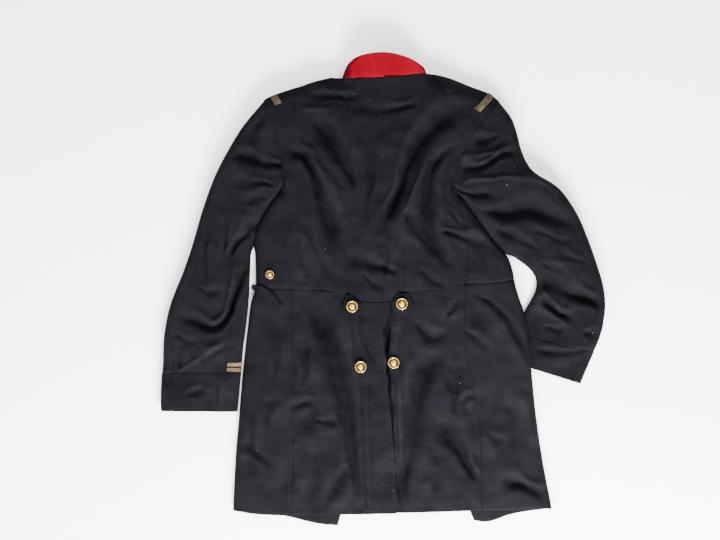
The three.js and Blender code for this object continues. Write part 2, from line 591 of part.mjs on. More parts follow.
/** Button with a raised rim round a low dome; `face` is 1 when it faces up and -1 when it faces down. */
function button(name, [x, y], size, face) {
  const { radius, height, sides } = size;
  const ring = steps(0, 1, 24).flatMap((t) => [0, 0.5, 1].map((share) => {
    const angle = t * 2 * Math.PI;
    const read = face > 0 ? highest : lowest;
    return read(x + share * radius * Math.cos(angle), y + share * radius * Math.sin(angle));
  })).filter((z) => z !== null);
  const seat = face > 0 ? Math.max(...ring) + seamGap : Math.min(...ring) - seamGap;
  const profile = [[0, 0], [0.9, 0], [1, 0.25], [1, 0.6], [0.86, 0.66], [0.8, 0.5], [0.5, 0.9], [0, 1]];
  const lathe = new THREE.LatheGeometry(profile.map(([r, h]) => new THREE.Vector2(r * radius, h * height)), sides);
  lathe.rotateX(face * Math.PI / 2);
  const mesh = new THREE.Mesh(lathe, brass);
  mesh.name = name;
  mesh.position.set(x, y, seat);
  garment.add(mesh);
  return mesh;
}

// ---- the pieces
const armhole = (side, upper) => (t) => { // from the shoulder to the underarm
  const section = sectionAt(sleeveSections[side], 0);
  const width = widthOf(section);
  const p = loopPoint(section, upper ? t * width : (2 - t) * width, 0, sideRoll, false);
  const clear = (side === 'left' ? 1 : -1) * armholeGap / width;
  p.x -= clear * (section.inner[1] - section.outer[1]);
  p.y += clear * (section.inner[0] - section.outer[0]);
  return p.setZ(0);
};
const seamMeetsArmhole = { left: 0.42, right: 0.55 };

function bodice(side) {
  const over = armhole(side, true);
  const meet = over(seamMeetsArmhole[side]);
  const seam = smooth([...bodySeam[side], [meet.x, meet.y]]);
  const middle = smooth(centreBack);
  const start = seam(0);
  const waistFrom = (ax, bx) => (t) => {
    const x = mix(ax, bx, t);
    return new THREE.Vector3(x, waistY(x) + waistGap, 0);
  };
  const neck = smooth(backNeck);
  const neckMiddle = 0.49;
  const shoulder = side === 'left'
    ? joined([smooth(shoulderFold.left), 0.64], [stretch(neck, 0, neckMiddle), 0.36])
    : joined([smooth(shoulderFold.right), 0.62], [reversed(stretch(neck, neckMiddle, 1)), 0.38]);
  const top = shoulder(1);
  const bottom = waistFrom(start.x, middle(0).x);
  const outerEdge = joined([seam, 2 / 3], [stretch(reversed(over), 1 - seamMeetsArmhole[side], 1), 1 / 3]);
  const inner = (t) => middle(t).add(new THREE.Vector3(0, mix(bottom(1).y - middle(0).y, top.y - middle(1).y, t), 0));
  upperPanel(`back_${side}`, side, coons(bottom, shoulder, outerEdge, inner), 9, 18);

  const sideEdge = smooth([...sideSeam[side], sideFold[side][0]]);
  const sideTop = (t) => over(mix(1, seamMeetsArmhole[side], t));
  const sidePanel = coons(waistFrom(sideEdge(0).x, start.x), sideTop, sideEdge, seam);
  upperPanel(`side_${side}`, side, sidePanel, 6, 12);
}

/** Opens a point that lies above outwards about the side fold. */
const opened = (side) => (p) => new THREE.Vector3(2 * edgeX(side, p.y) - p.x, p.y, 0);

function front(side) {
  const open = opened(side);
  const edge = smooth([...sideSeam[side], sideFold[side][0]]);
  const under = armhole(side, false);
  const lap = frontLap[side];
  const left = joined([(t) => open(edge(t)), 0.6], [reversed(under), 0.4]);
  const neckPoint = shoulderFold[side].at(-1);
  const dip = 316;
  const neckline = smooth([neckPoint, [neckPoint[0] * 0.62, dip + 14], [lap, dip]]);
  const shoulder = joined([smooth(shoulderFold[side]), 0.5], [neckline, 0.5]);
  const fold = [edgeX(side, 5), waistY(edgeX(side, 5))];
  const seamFoot = open(edge(0));
  const bottom = joined([line([seamFoot.x, seamFoot.y], fold), 0.25], [line(fold, [lap, 2]), 0.75]);
  const patch = coons(bottom, shoulder, left, line([lap, 2], [lap, dip]));
  foldedPanel(`front_${side}`, side, patch, { above: 3, below: 4 }, 20);
}

function skirtFront(side) {
  const open = opened(side);
  const edge = smooth(skirtSideSeam[side]);
  const hem = side === 'left'
    ? [[-280.5, -409], [-225, -416], [-164, -427], [-149, -436], [-114, -439], [-84, -441]]
    : [[314, -403], [262, -411], [200, -434], [185, -438], [168, -431]];
  const lap = side === 'left' ? [[-2, 0.4], [-22, -210], hem.at(-1)] : [[2, 0.4], [76, -210], hem.at(-1)];
  const foot = open(edge(1));
  const fold = [edgeX(side, 0), waistY(edgeX(side, 0)) - 0.4];
  const head = open(edge(0));
  const bottom = joined([line([foot.x, foot.y], hem[0]), 0.3], [smooth(hem), 0.7]);
  const top = joined([line([head.x, head.y], fold), 0.3], [line(fold, lap[0]), 0.7]);
  const patch = coons(top, bottom, (t) => open(edge(t)), smooth(lap));
  foldedPanel(`skirt_front_${side}`, side, patch, { above: 4, below: 4 }, 18);
}

function skirtBack(side) {
  const edge = smooth(skirtSideSeam[side]);
  const open = smooth(vent);
  const inner = side === 'left' ? open : (t) => open(t).add(new THREE.Vector3(-underlap.reach * ease(t / 0.12), 0, 0));
  const waistEdge = (t) => {
    const x = mix(edge(0).x, inner(0).x, t);
    const y = t === 1 ? inner(0).y : waistY(x) - waistGap;
    return new THREE.Vector3(x, y, 0);
  };
  const hem = line(edge(1).toArray(), inner(1).toArray());
  const start = edge(0).setY(waistEdge(0).y);
  const outer = (t) => (t === 0 ? start.clone() : edge(t));
  const patch = coons(waistEdge, hem, outer, inner);
  const ventX = (y) => between([...vent].reverse().map(([x, at]) => ({ y: at, x })), 'y', 'x', y);
  const drop = side === 'left'
    ? () => 0
    : (x, y) => underlap.drop * ease((ventX(y) + underlap.open - x) / underlap.blend);
  upperPanel(`skirt_back_${side}`, side, patch, side === 'left' ? 10 : 9, 21, drop);
}

function sleeve(side) {
  const sections = sleeveSections[side];
  const cuffStart = sections.length - 1 - cuffRows;
  const gapAlong = 0.01;
  const bend = [0.13, 0.5, 1].map((k) => k * sideRoll);
  const long = steps(gapAlong, cuffStart - gapAlong, 17);
  const round = { roll: sideRoll, folded: true };
  const underRuns = (width) => [
    ...steps(hindarm, width - sideRoll, 5),
    ...[...bend].reverse().slice(1).map((b) => width - b), width, ...bend.map((b) => width + b), width + forearm,
  ];
  const topRuns = (width) => [
    ...steps(width + forearm + seamGap, 2 * width - sideRoll, 3),
    ...[...bend].reverse().slice(1).map((b) => 2 * width - b), 2 * width, ...bend.map((b) => 2 * width + b),
    2 * width + hindarm - seamGap,
  ];
  loopPanel(`sleeve_${side}_under`, sections, { ...round, along: long, runs: underRuns, depths: [0, wall] }, blackCloth);
  loopPanel(`sleeve_${side}_top`, sections, { ...round, along: long, runs: topRuns, depths: [0, wall] }, blackCloth);

  const cuffRuns = (width) => [
    ...steps(hindarm, width - sideRoll, 5),
    ...[...bend].reverse().slice(1).map((b) => width - b), width, ...bend.map((b) => width + b),
    ...steps(width + forearm, 2 * width - sideRoll, 3),
    ...[...bend].reverse().slice(1).map((b) => 2 * width - b), 2 * width, ...bend.map((b) => 2 * width + b),
    2 * width + hindarm - seamGap,
  ];
  const cuffLong = steps(cuffStart + gapAlong, sections.length - 1, 3);
  loopPanel(`cuff_${side}`, sections,
    { ...round, along: cuffLong, runs: cuffRuns, depths: [-cuffProud, wall - cuffProud] }, blackCloth);

  braidRows.forEach(([from, to], k) => {
    const strip = (width) => [
      ...(braidReach.above[side] > sideRoll ? [width - braidReach.above[side]] : []),
      ...[...bend].reverse().filter((b) => b < braidReach.above[side]).map((b) => width - b), width,
      ...bend.map((b) => width + b), ...steps(width + forearm, 2 * width - braidReach.below, 2),
    ];
    loopPanel(`braid_${side}_${k + 1}`, sections, {
      ...round, along: steps(cuffStart - 1 + from, cuffStart - 1 + to, 1), runs: strip,
      depths: [-seamGap - 0.9, -seamGap],
    }, goldLace);
  });
}

function collar() {
  const bend = [0.13, 0.5, 1].map((k) => k * collarRoll);
  const runs = (width) => [ // from the middle of the front, round the back, to the middle again
    ...steps(-width / 2 + 1, -collarRoll, 3), ...[...bend].reverse().slice(1).map((b) => -b), 0, ...bend,
    ...steps(collarRoll, width - collarRoll, 6).slice(1), ...[...bend].reverse().slice(1).map((b) => width - b),
    width, ...bend.map((b) => width + b), ...steps(width + collarRoll, 1.5 * width - 1, 3).slice(1),
  ];
  const place = { roll: collarRoll, folded: false, runs };
  loopPanel('collar', collarSections, { ...place, along: [0.05, 1, 2, 3], depths: [0, wall] }, redCloth);
  const lining = { ...place, along: [0.05, 1, 2, 3, 3.12], depths: [wall + seamGap, wall + seamGap + laceWall] };
  loopPanel('collar_inside', collarSections, lining, blackCloth);
}

const strip = ({ from, to }) => {
  const [a, b] = [smooth(from), smooth(to)];
  return (u, v) => a(v).lerp(b(v), u);
};

for (const side of ['left', 'right']) {
  bodice(side);
  front(side);
  skirtBack(side);
  skirtFront(side);
  sleeve(side);
}
collar();
for (const side of ['left', 'right']) {
  const rows = [...ventFlap[side]].reverse();
  const flap = (u, v) => {
    const y = rows[Math.round(v * (rows.length - 1))].y;
    return new THREE.Vector3(mix(between(rows, 'y', 'from', y), between(rows, 'y', 'to', y), u), y, 0);
  };
  laidStrip(`vent_flap_${side}`, flap, 2, rows.length - 1, 1.6, blackCloth);
  laidStrip(`shoulder_loop_${side}`, strip(shoulderLoop[side]), 2, 3, laceWall, goldLace);
  laidStrip(`shoulder_patch_${side}`, strip(shoulderPatch[side]), 2, 3, laceWall, blackCloth, patchClear[side]);
}
laidStrip('belt_tab', strip(beltTab), 2, 6, laceWall, blackCloth);
for (const side of ['left', 'right']) {
  flapButtons[side].forEach((at, k) => button(`back_button_${side}_${k + 1}`, at, backButton, 1));
}
button('belt_tab_button', beltTabButton, tabButton, 1);
for (let k = 0; k < frontButtonCount; k++) {
  button(`front_button_${k + 1}`, [0, 18 + k * frontButtonStep], frontButton, -1);
}

// Origin under the middle of the bounding box, on the table.
const box = new THREE.Box3().setFromObject(garment);
const centre = box.getCenter(new THREE.Vector3());
garment.position.set(-centre.x, -centre.y, -box.min.z);

export default garment;
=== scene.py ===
import math
import bmesh
import bpy
import numpy as np
from mathutils import Matrix, Vector
from mathutils.bvhtree import BVHTree
from mathutils.kdtree import KDTree


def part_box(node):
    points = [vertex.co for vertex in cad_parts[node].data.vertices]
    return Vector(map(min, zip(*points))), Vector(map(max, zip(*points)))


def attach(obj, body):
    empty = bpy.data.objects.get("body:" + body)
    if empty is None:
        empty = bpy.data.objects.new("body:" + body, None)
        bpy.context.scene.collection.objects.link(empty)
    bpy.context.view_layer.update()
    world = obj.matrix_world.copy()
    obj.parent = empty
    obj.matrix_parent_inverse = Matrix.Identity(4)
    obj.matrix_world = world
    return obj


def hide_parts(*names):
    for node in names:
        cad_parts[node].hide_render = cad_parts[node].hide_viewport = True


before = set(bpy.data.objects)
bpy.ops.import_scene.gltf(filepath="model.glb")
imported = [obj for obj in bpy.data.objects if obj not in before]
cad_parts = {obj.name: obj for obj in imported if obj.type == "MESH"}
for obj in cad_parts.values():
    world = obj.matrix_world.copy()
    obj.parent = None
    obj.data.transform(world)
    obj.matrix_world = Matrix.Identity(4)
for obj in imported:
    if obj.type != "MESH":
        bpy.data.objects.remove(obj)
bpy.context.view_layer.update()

originX, originY = -0.045, 2.127  # where the tables' (0, 0) lies, mm
mm = 0.001

def metres(path):
    return [((x + originX) * mm, (y + originY) * mm) for x, y in path]


# crease tables: depth (below zero for a trough), half width, lean of its ridges, path; all in mm
creases = {
    "body": [
        (-6, 11, 0.3, [(-132, 323), (-99, 280), (-71, 234), (-51, 180)]),
        (-7, 12, -0.6, [(145, 351), (105, 310), (68, 277), (45, 236), (31, 184), (12, 143), (-10, 108)]),
        (4, 10, 0, [(90, 258), (68, 217), (53, 175), (27, 119)]),
        (-7, 11, 0.4, [(-186, 253), (-158, 253), (-140, 243), (-127, 210), (-119, 175), (-103, 125), (-86, 77)]),
        (3.5, 9, 0, [(-154, 258), (-125, 232), (-99, 203), (-71, 138)]),
        (-6, 9, 0.5, [(134, 266), (105, 248), (85, 226), (78, 177), (78, 127), (85, 94), (108, 61), (138, 35)]),
        (-3, 9, -0.3, [(40, 150), (52, 128), (66, 104), (80, 80)]),
        (-3.5, 10, 0, [(-71, 64), (-21, 49), (31, 29)]),
        (-3, 9, 0.4, [(-154, 364), (-99, 356), (-34, 356)]),
        (2.5, 9, 0, [(-154, 332), (-114, 334), (-71, 341)]),
        (-3.5, 7, 0.5, [(101, 110), (145, 99), (193, 80)]),
        (-4, 6, 0.4, [(151, -1), (188, -19), (210, -47)]),
        (-3, 5, 0, [(230, 18), (247, -5)]),
        (-3, 8, 0.4, [(-58, 343), (-18, 328), (27, 332), (68, 349)]),
        (-2.5, 9, -0.4, [(-32, 299), (-21, 240), (-27, 173), (-40, 117)]),
        (-2.2, 8, 0.4, [(-151, 140), (-132, 92), (-106, 40), (-88, 10)]),
        (-2.2, 7, -0.4, [(-162, 106), (-154, 58), (-132, 18)]),
        (-2, 6, 0.3, [(-43, 32), (-18, 10), (8, -5)]),
        (-2.4, 6, -0.3, [(64, 40), (86, 19), (116, 5)]),
        (-2.2, 7, 0.3, [(-6, 99), (5, 62), (1, 18)]),
        (-2, 7, 0.2, [(116, 173), (127, 140), (145, 117)]),
        (-1.8, 6, 0.2, [(-99, 373), (-73, 354), (-58, 328)]),
    ],
    "skirt": [
        (-6, 12, 0.4, [(-160, -3), (-134, -31), (-114, -66), (-97, -105), (-90, -149), (-77, -197),
                       (-68, -241), (-60, -290), (-55, -334), (-49, -399)]),
        (-3, 9, 0.3, [(-214, -199), (-217, -227), (-214, -256)]),
        (-4, 9, -0.4, [(-265, -278), (-232, -304), (-201, -334)]),
        (-2.4, 11, 0.3, [(-178, -226), (-150, -208), (-128, -212), (-134, -238), (-154, -272)]),
        (-2, 6, 0, [(-128, -240), (-106, -246), (-84, -245)]),
        (-2.4, 8, 0.4, [(-62, -318), (-80, -350), (-116, -405)]),
        (-5, 11, -0.5, [(125, -108), (105, -121), (86, -138), (75, -158), (68, -180), (62, -216),
                         (56, -253), (47, -301), (38, -347), (31, -404)]),
        (-5, 10, 0.5, [(106, -236), (119, -262), (136, -290), (149, -315), (162, -339), (179, -358)]),
        (-6, 9, 0.5, [(221, -351), (258, -365), (301, -382)]),
        (-2, 10, 0.2, [(140, -215), (160, -193), (196, -206)]),
        (-3, 7, -0.3, [(188, -260), (221, -288)]),
        (-3, 8, 0.4, [(55, -51), (71, -73), (92, -93), (123, -75)]),
        (3, 8, 0, [(253, -179), (260, -216), (268, -253), (290, -299)]),
        (-2.4, 8, 0.3, [(-225, -23), (-206, -75), (-199, -134), (-206, -182)]),
        (-2.6, 8, -0.3, [(-154, -75), (-143, -127), (-149, -182)]),
        (-2, 8, 0.3, [(-254, -208), (-243, -249), (-251, -297), (-240, -352)]),
        (-2.2, 9, 0.3, [(-184, -278), (-173, -327), (-180, -382)]),
        (-2, 8, 0.3, [(-136, -290), (-125, -334), (-132, -389)]),
        (-2.4, 9, -0.3, [(86, -275), (101, -319), (93, -382)]),
        (-2.2, 8, 0.4, [(164, -31), (186, -68), (216, -101)]),
        (-2.4, 8, 0.2, [(119, -153), (134, -190), (127, -234)]),
        (-2, 7, 0.2, [(230, -204), (241, -249), (238, -301)]),
        (-2, 7, 0.2, [(197, -130), (216, -167), (212, -212)]),
        (-4.5, 5, -0.4, [(150, -3), (180, -15), (208, -32), (229, -55), (246, -83), (259, -113), (270, -142)]),
        (-3, 4.5, 0.3, [(149, -73), (174, -91), (197, -115)]),
        (-2.6, 5, 0, [(134, -20), (126, -36), (117, -52)]),
    ],
    "ventGap": [
        (-7.5, 7, 0, [(-6, -30), (3, -52), (8, -84), (9, -120), (10, -160), (13, -205), (15, -240)]),
        (-4, 5, 0, [(12, -190), (16, -240), (19, -300), (24, -350), (28, -410)]),
    ],
    "sleeveLeft": [
        (-6, 9, 0.4, [(-284, 254), (-247, 243), (-223, 234), (-201, 230), (-169, 227)]),
        (-5, 9, -0.5, [(-232, 132), (-247, 114), (-260, 97), (-277, 79), (-288, 58)]),
        (-8, 10, 0.5, [(-388, -36), (-364, -53), (-339, -62), (-319, -73), (-304, -69),
                       (-291, -55), (-282, -36), (-277, -18), (-269, 3), (-264, 23), (-247, 66)]),
        (-3, 7, 0.3, [(-386, -79), (-369, -90), (-349, -103)]),
        (3, 8, 0, [(-388, -154), (-354, -134), (-327, -117), (-304, -101), (-284, -86)]),
        (-3, 7, 0.4, [(-367, -190), (-347, -190), (-330, -182)]),
        (-3, 8, 0.4, [(-225, 317), (-243, 291), (-236, 262), (-217, 251)]),
        (-3, 8, -0.4, [(-277, 206), (-254, 195), (-225, 199), (-195, 191)]),
        (-2.5, 8, 0.3, [(-299, 140), (-291, 99), (-299, 51)]),
        (-2.5, 8, 0.3, [(-328, 106), (-332, 58), (-325, 10)]),
        (-2.6, 7, 0.4, [(-347, 10), (-325, -5), (-299, -1)]),
        (-2.5, 7, -0.3, [(-291, -101), (-314, -119), (-347, -130)]),
        (-2.2, 8, 0.3, [(-254, 158), (-232, 173), (-210, 169)]),
        (-2, 6, 0.3, [(-384, -112), (-376, -134), (-380, -153)]),
        (-2, 6, 0.2, [(-317, -164), (-306, -190), (-310, -219)]),
    ],
    "sleeveRight": [
        (-4, 8, 0.4, [(166, 273), (197, 277), (216, 288)]),
        (4, 8, 0, [(134, 243), (179, 249), (201, 253), (225, 262)]),
        (-7, 9, 0.4, [(130, 228), (167, 221), (184, 227), (201, 236), (214, 247), (227, 254), (260, 251)]),
        (3.5, 8, 0, [(132, 199), (164, 203), (197, 206), (245, 208), (290, 203), (314, 191), (336, 175)]),
        (-4, 7, -0.4, [(130, 191), (145, 182), (160, 177), (182, 175), (204, 177)]),
        (-6.5, 13, 0.2, [(171, 149), (203, 143), (234, 140), (262, 150), (290, 142), (325, 128), (366, 116)]),
        (-3, 7, 0.3, [(206, 114), (249, 95), (290, 73)]),
        (-9, 16, 0.3, [(286, 24), (301, 17), (320, 8), (345, -6), (370, -16), (392, -23), (412, -27)]),
        (-8, 10, -0.4, [(292, -8), (306, -28), (323, -45), (342, -50), (356, -50)]),
        (4, 5, 0, [(292, 6), (304, -12), (318, -26), (334, -35), (352, -41)]),
        (-4, 7, 0.4, [(299, -68), (317, -73), (336, -79)]),
        (-4, 7, 0.3, [(367, -79), (384, -82), (401, -82)]),
        (-3, 7, 0.3, [(280, -112), (304, -116), (327, -117), (354, -116), (382, -112)]),
        (-3, 8, 0.3, [(253, 314), (238, 291), (245, 269)]),
        (-2.6, 8, 0.3, [(319, 73), (341, 58), (378, 51)]),
        (-2.5, 7, 0.3, [(271, 114), (304, 99), (349, 84)]),
        (-2.4, 7, 0.3, [(212, 351), (230, 328), (230, 306)]),
        (-2.2, 7, 0.2, [(290, 51), (312, 40), (338, 36)]),
    ],
}


# shading helpers shared by the materials
def newGroup(name, inputs, outputs):
    group = bpy.data.node_groups.new(name, "ShaderNodeTree")
    for label, kind, default in inputs:
        socket = group.interface.new_socket(label, in_out="INPUT", socket_type=kind)
        if default is not None:
            socket.default_value = default
    for label, kind in outputs:
        group.interface.new_socket(label, in_out="OUTPUT", socket_type=kind)
    return group, group.nodes.new("NodeGroupInput"), group.nodes.new("NodeGroupOutput")


def addNode(tree, kind, settings=None, **sockets):
    node = tree.nodes.new(kind)
    for key, value in (settings or {}).items():
        setattr(node, key, value)
    for key, value in sockets.items():
        feed(tree, node.inputs[key], value)
    return node


def feed(tree, socket, value):
    if isinstance(value, bpy.types.NodeSocket):
        tree.links.new(value, socket)
    elif isinstance(value, tuple) and len(value) == 3 and socket.type == "RGBA":
        socket.default_value = (*value, 1.0)
    else:
        socket.default_value = value


def mathNode(tree, operation, a, b=0.0, clamp=False):
    node = addNode(tree, "ShaderNodeMath", {"operation": operation, "use_clamp": clamp})
    feed(tree, node.inputs[0], a)
    feed(tree, node.inputs[1], b)
    return node.outputs[0]


def rangeNode(tree, value, low, high, toLow=0.0, toHigh=1.0):
    node = addNode(tree, "ShaderNodeMapRange", Value=value)
    node.inputs["From Min"].default_value = low
    node.inputs["From Max"].default_value = high
    node.inputs["To Min"].default_value = toLow
    node.inputs["To Max"].default_value = toHigh
    return node.outputs["Result"]


def mixColour(tree, factor, a, b, blend="MIX"):
    node = addNode(tree, "ShaderNodeMix", {"data_type": "RGBA", "blend_type": blend})
    feed(tree, node.inputs[0], factor)
    feed(tree, node.inputs[6], a)
    feed(tree, node.inputs[7], b)
    return node.outputs[2]


def noiseNode(tree, vector, scale, detail=3.0, rough=0.55):
    node = addNode(tree, "ShaderNodeTexNoise", Vector=vector, Scale=scale, Detail=detail, Roughness=rough)
    return node.outputs["Fac"]


def makeNapGroup():  # wool's nap over a fine twill
    group, enter, leave = newGroup(
        "woolNap", [("Vector", "NodeSocketVector", None)],
        [("Height", "NodeSocketFloat"), ("Tone", "NodeSocketFloat"), ("Fuzz", "NodeSocketFloat")])
    vector = enter.outputs["Vector"]
    twill = addNode(group, "ShaderNodeTexWave", {"bands_direction": "DIAGONAL"}, Vector=vector, Scale=420.0,
                    Distortion=1.4, Detail=2.0)
    nap = noiseNode(group, vector, 1700.0, 4.0, 0.7)
    pill = noiseNode(group, vector, 420.0, 3.0, 0.6)
    height = mathNode(group, "MULTIPLY", twill.outputs["Fac"], 0.08)
    height = mathNode(group, "ADD", height, mathNode(group, "MULTIPLY", nap, 0.5))
    height = mathNode(group, "ADD", height, mathNode(group, "MULTIPLY", pill, 0.5))
    group.links.new(height, leave.inputs["Height"])
    cloud = noiseNode(group, vector, 13.0, 4.0, 0.6)
    blotch = noiseNode(group, vector, 75.0, 4.0, 0.65)
    tone = mathNode(group, "MULTIPLY", cloud, 0.6)
    tone = mathNode(group, "ADD", tone, mathNode(group, "MULTIPLY", blotch, 0.4))
    group.links.new(tone, leave.inputs["Tone"])
    group.links.new(rangeNode(group, nap, 0.35, 0.75), leave.inputs["Fuzz"])
    return group


def makeLintGroup():  # sparse pale specks and short hairs
    group, enter, leave = newGroup("lint", [("Vector", "NodeSocketVector", None)], [("Mask", "NodeSocketFloat")])
    vector = enter.outputs["Vector"]
    bent = noiseNode(group, vector, 160.0, 2.0)
    shifted = addNode(group, "ShaderNodeVectorMath", {"operation": "ADD"})
    feed(group, shifted.inputs[0], vector)
    scaled = addNode(group, "ShaderNodeVectorMath", {"operation": "SCALE"})
    feed(group, scaled.inputs[0], bent)
    scaled.inputs["Scale"].default_value = 0.004
    feed(group, shifted.inputs[1], scaled.outputs[0])
    masks = []
    for scale, size, share in ((48.0, 0.022, 0.92), (95.0, 0.035, 0.93)):
        cells = addNode(group, "ShaderNodeTexVoronoi", Vector=shifted.outputs[0], Scale=scale)
        spot = rangeNode(group, cells.outputs["Distance"], size, size * 0.55)
        chosen = addNode(group, "ShaderNodeSeparateColor", Color=cells.outputs["Color"])
        picked = mathNode(group, "GREATER_THAN", chosen.outputs["Red"], share)
        masks.append(mathNode(group, "MULTIPLY", spot, picked))
    group.links.new(mathNode(group, "MAXIMUM", masks[0], masks[1]), leave.inputs["Mask"])
    return group


def makeDustGroup():  # handling wear: paler where dust has settled in broad patches
    group, enter, leave = newGroup("dust", [("Vector", "NodeSocketVector", None)], [("Mask", "NodeSocketFloat")])
    vector = enter.outputs["Vector"]
    broad = rangeNode(group, noiseNode(group, vector, 6.0, 3.0), 0.48, 0.75)
    fine = rangeNode(group, noiseNode(group, vector, 620.0, 4.0, 0.7), 0.4, 0.8)
    group.links.new(mathNode(group, "MULTIPLY", broad, fine), leave.inputs["Mask"])
    return group


napGroup, lintGroup, dustGroup = makeNapGroup(), makeLintGroup(), makeDustGroup()


def useGroup(tree, group, vector):
    node = addNode(tree, "ShaderNodeGroup", {"node_tree": group})
    feed(tree, node.inputs["Vector"], vector)
    return node


def startMaterial(name, roughness=0.85, metallic=0.0, sockets=None):
    material = bpy.data.materials.new(name)
    material.use_nodes = True
    tree = material.node_tree
    shader = tree.nodes["Principled BSDF"]
    shader.inputs["Roughness"].default_value = roughness
    shader.inputs["Metallic"].default_value = metallic
    for key, value in (sockets or {}).items():
        feed(tree, shader.inputs[key], value)
    vector = addNode(tree, "ShaderNodeTexCoord").outputs["Object"]
    return material, tree, shader, vector


def bumpInto(tree, shader, height, strength, distance):
    bump = addNode(tree, "ShaderNodeBump", Height=height, Strength=strength, Distance=distance)
    tree.links.new(bump.outputs["Normal"], shader.inputs["Normal"])


def makeWool(name, look):
    material, tree, shader, vector = startMaterial(name, look["roughness"], 0.0, {
        "Sheen Roughness": 0.42, "Sheen Tint": look["sheenTint"]})
    nap = useGroup(tree, napGroup, vector)
    colour = mixColour(tree, rangeNode(tree, nap.outputs["Tone"], 0.36, 0.64), look["dark"], look["light"])
    colour = mixColour(tree, mathNode(tree, "MULTIPLY", nap.outputs["Fuzz"], 0.55), colour, look["fuzz"])
    dust = useGroup(tree, dustGroup, vector).outputs["Mask"]
    colour = mixColour(tree, mathNode(tree, "MULTIPLY", dust, look["dusty"]), colour, look["dustColour"])
    lint = useGroup(tree, lintGroup, vector).outputs["Mask"]
    colour = mixColour(tree, mathNode(tree, "MULTIPLY", lint, look["linty"]), colour, (0.72, 0.72, 0.7))
    if "stain" in look:
        colour = look["stain"](tree, vector, colour)
    relief = addNode(tree, "ShaderNodeAttribute", {"attribute_name": "relief"}).outputs["Fac"]
    paintedShadeHighlight = rangeNode(tree, relief, -1.0, 1.0, *look["relief"])  # painted shade in the hollows and painted highlight on the ridges, from the crease relief
    # the deepest hollows, the vent gap among them, get a near-black painted shade
    paintedShadeHighlight = mathNode(tree, "MULTIPLY", paintedShadeHighlight, rangeNode(tree, relief, -2.0, -1.3, 0.1, 1.0))
    # the painted shade and highlight also scale the sheen and specular
    for key in ("sheen", "specular"):
        socket = shader.inputs["Sheen Weight" if key == "sheen" else "Specular IOR Level"]
        tree.links.new(mathNode(tree, "MULTIPLY", paintedShadeHighlight, look[key]), socket)
    tree.links.new(mixColour(tree, 1.0, colour, paintedShadeHighlight, "MULTIPLY"), shader.inputs["Base Color"])
    bumpInto(tree, shader, nap.outputs["Height"], look["bump"], 0.0009)
    return material


def collarStain(tree, vector, colour):  # darker grime in patches and a stain low at the left
    spread = noiseNode(tree, vector, 40.0, 3.0)
    place = addNode(tree, "ShaderNodeSeparateXYZ", Vector=vector)
    left = rangeNode(tree, place.outputs["X"], -0.056, -0.066)
    low = rangeNode(tree, place.outputs["Y"], 0.413, 0.406)
    stain = mathNode(tree, "MULTIPLY", mathNode(tree, "MULTIPLY", left, low), rangeNode(tree, spread, 0.2, 0.5))
    colour = mixColour(tree, mathNode(tree, "MULTIPLY", stain, 0.75), colour, (0.02, 0.001, 0.002))
    grime = rangeNode(tree, noiseNode(tree, vector, 110.0, 4.0), 0.45, 0.75)
    return mixColour(tree, mathNode(tree, "MULTIPLY", grime, 0.3), colour, (0.08, 0.0008, 0.003))


# relief: how dark the painted shade in hollows and how bright the painted highlight on ridges
blackWool = makeWool("blackWool", {
    "roughness": 0.74, "sheen": 0.006, "sheenTint": (0.7, 0.76, 1.0, 1.0), "specular": 0.038,
    "dark": (0.0012, 0.0011, 0.0016), "light": (0.0030, 0.0029, 0.0043), "fuzz": (0.0048, 0.0048, 0.007),
    "dusty": 0.05, "dustColour": (0.06, 0.06, 0.066), "linty": 0.5, "bump": 0.55,
    "relief": (0.66, 1.22)})
redWool = makeWool("redWool", {
    "roughness": 0.9, "sheen": 0.001, "sheenTint": (1.0, 0.1, 0.12, 1.0), "specular": 0.02,
    "dark": (0.062, 0.0002, 0.0025), "light": (0.115, 0.0003, 0.0044), "fuzz": (0.14, 0.0004, 0.006),
    "dusty": 0.02, "dustColour": (0.3, 0.08, 0.08), "linty": 0.3, "bump": 0.5,
    "relief": (0.8, 1.2), "stain": collarStain})


def makeThread(name, colourOf, roughness, metallic=0.0):
    material, tree, shader, vector = startMaterial(name, roughness, metallic, {"Specular IOR Level": 0.02})
    tone = rangeNode(tree, noiseNode(tree, vector, 300.0, 3.0), 0.3, 0.7)
    tree.links.new(mixColour(tree, tone, *colourOf), shader.inputs["Base Color"])
    twist = addNode(tree, "ShaderNodeTexWave", {"bands_direction": "DIAGONAL"}, Vector=vector, Scale=520.0)
    bumpInto(tree, shader, twist.outputs["Fac"], 0.4, 0.0002)
    return material


# thread darker than the wool: black thread, and painted shade for the shadow along the flap edges
threadAndEdgeShade = makeThread("threadAndEdgeShade", ((0.0004, 0.0004, 0.0005), (0.001, 0.001, 0.0012)), 0.95)


def makeLace(name, bright, dim):  # metal thread woven over ribs, tarnished in patches
    material, tree, shader, vector = startMaterial(name, 0.5, 0.35, {"Specular IOR Level": 0.2})
    patches = rangeNode(tree, noiseNode(tree, vector, 90.0, 4.0, 0.65), 0.38, 0.66)
    colour = mixColour(tree, patches, bright, dim)
    ribs = addNode(tree, "ShaderNodeTexWave", {"bands_direction": "DIAGONAL"}, Vector=vector, Scale=300.0,
                   Distortion=0.6)
    cross = addNode(tree, "ShaderNodeTexWave", {"bands_direction": "X"}, Vector=vector, Scale=420.0)
    weave = mathNode(tree, "MULTIPLY", ribs.outputs["Fac"], cross.outputs["Fac"])
    colour = mixColour(tree, rangeNode(tree, weave, 0.0, 0.5, 0.7, 0.0), colour, (0.02, 0.014, 0.009))
    tree.links.new(colour, shader.inputs["Base Color"])
    bumpInto(tree, shader, weave, 0.8, 0.0005)
    return material


goldLace = makeLace("goldLace", (0.2, 0.115, 0.05), (0.085, 0.05, 0.026))
tarnishedLace = makeLace("tarnishedLace", (0.1, 0.07, 0.034), (0.012, 0.009, 0.007))


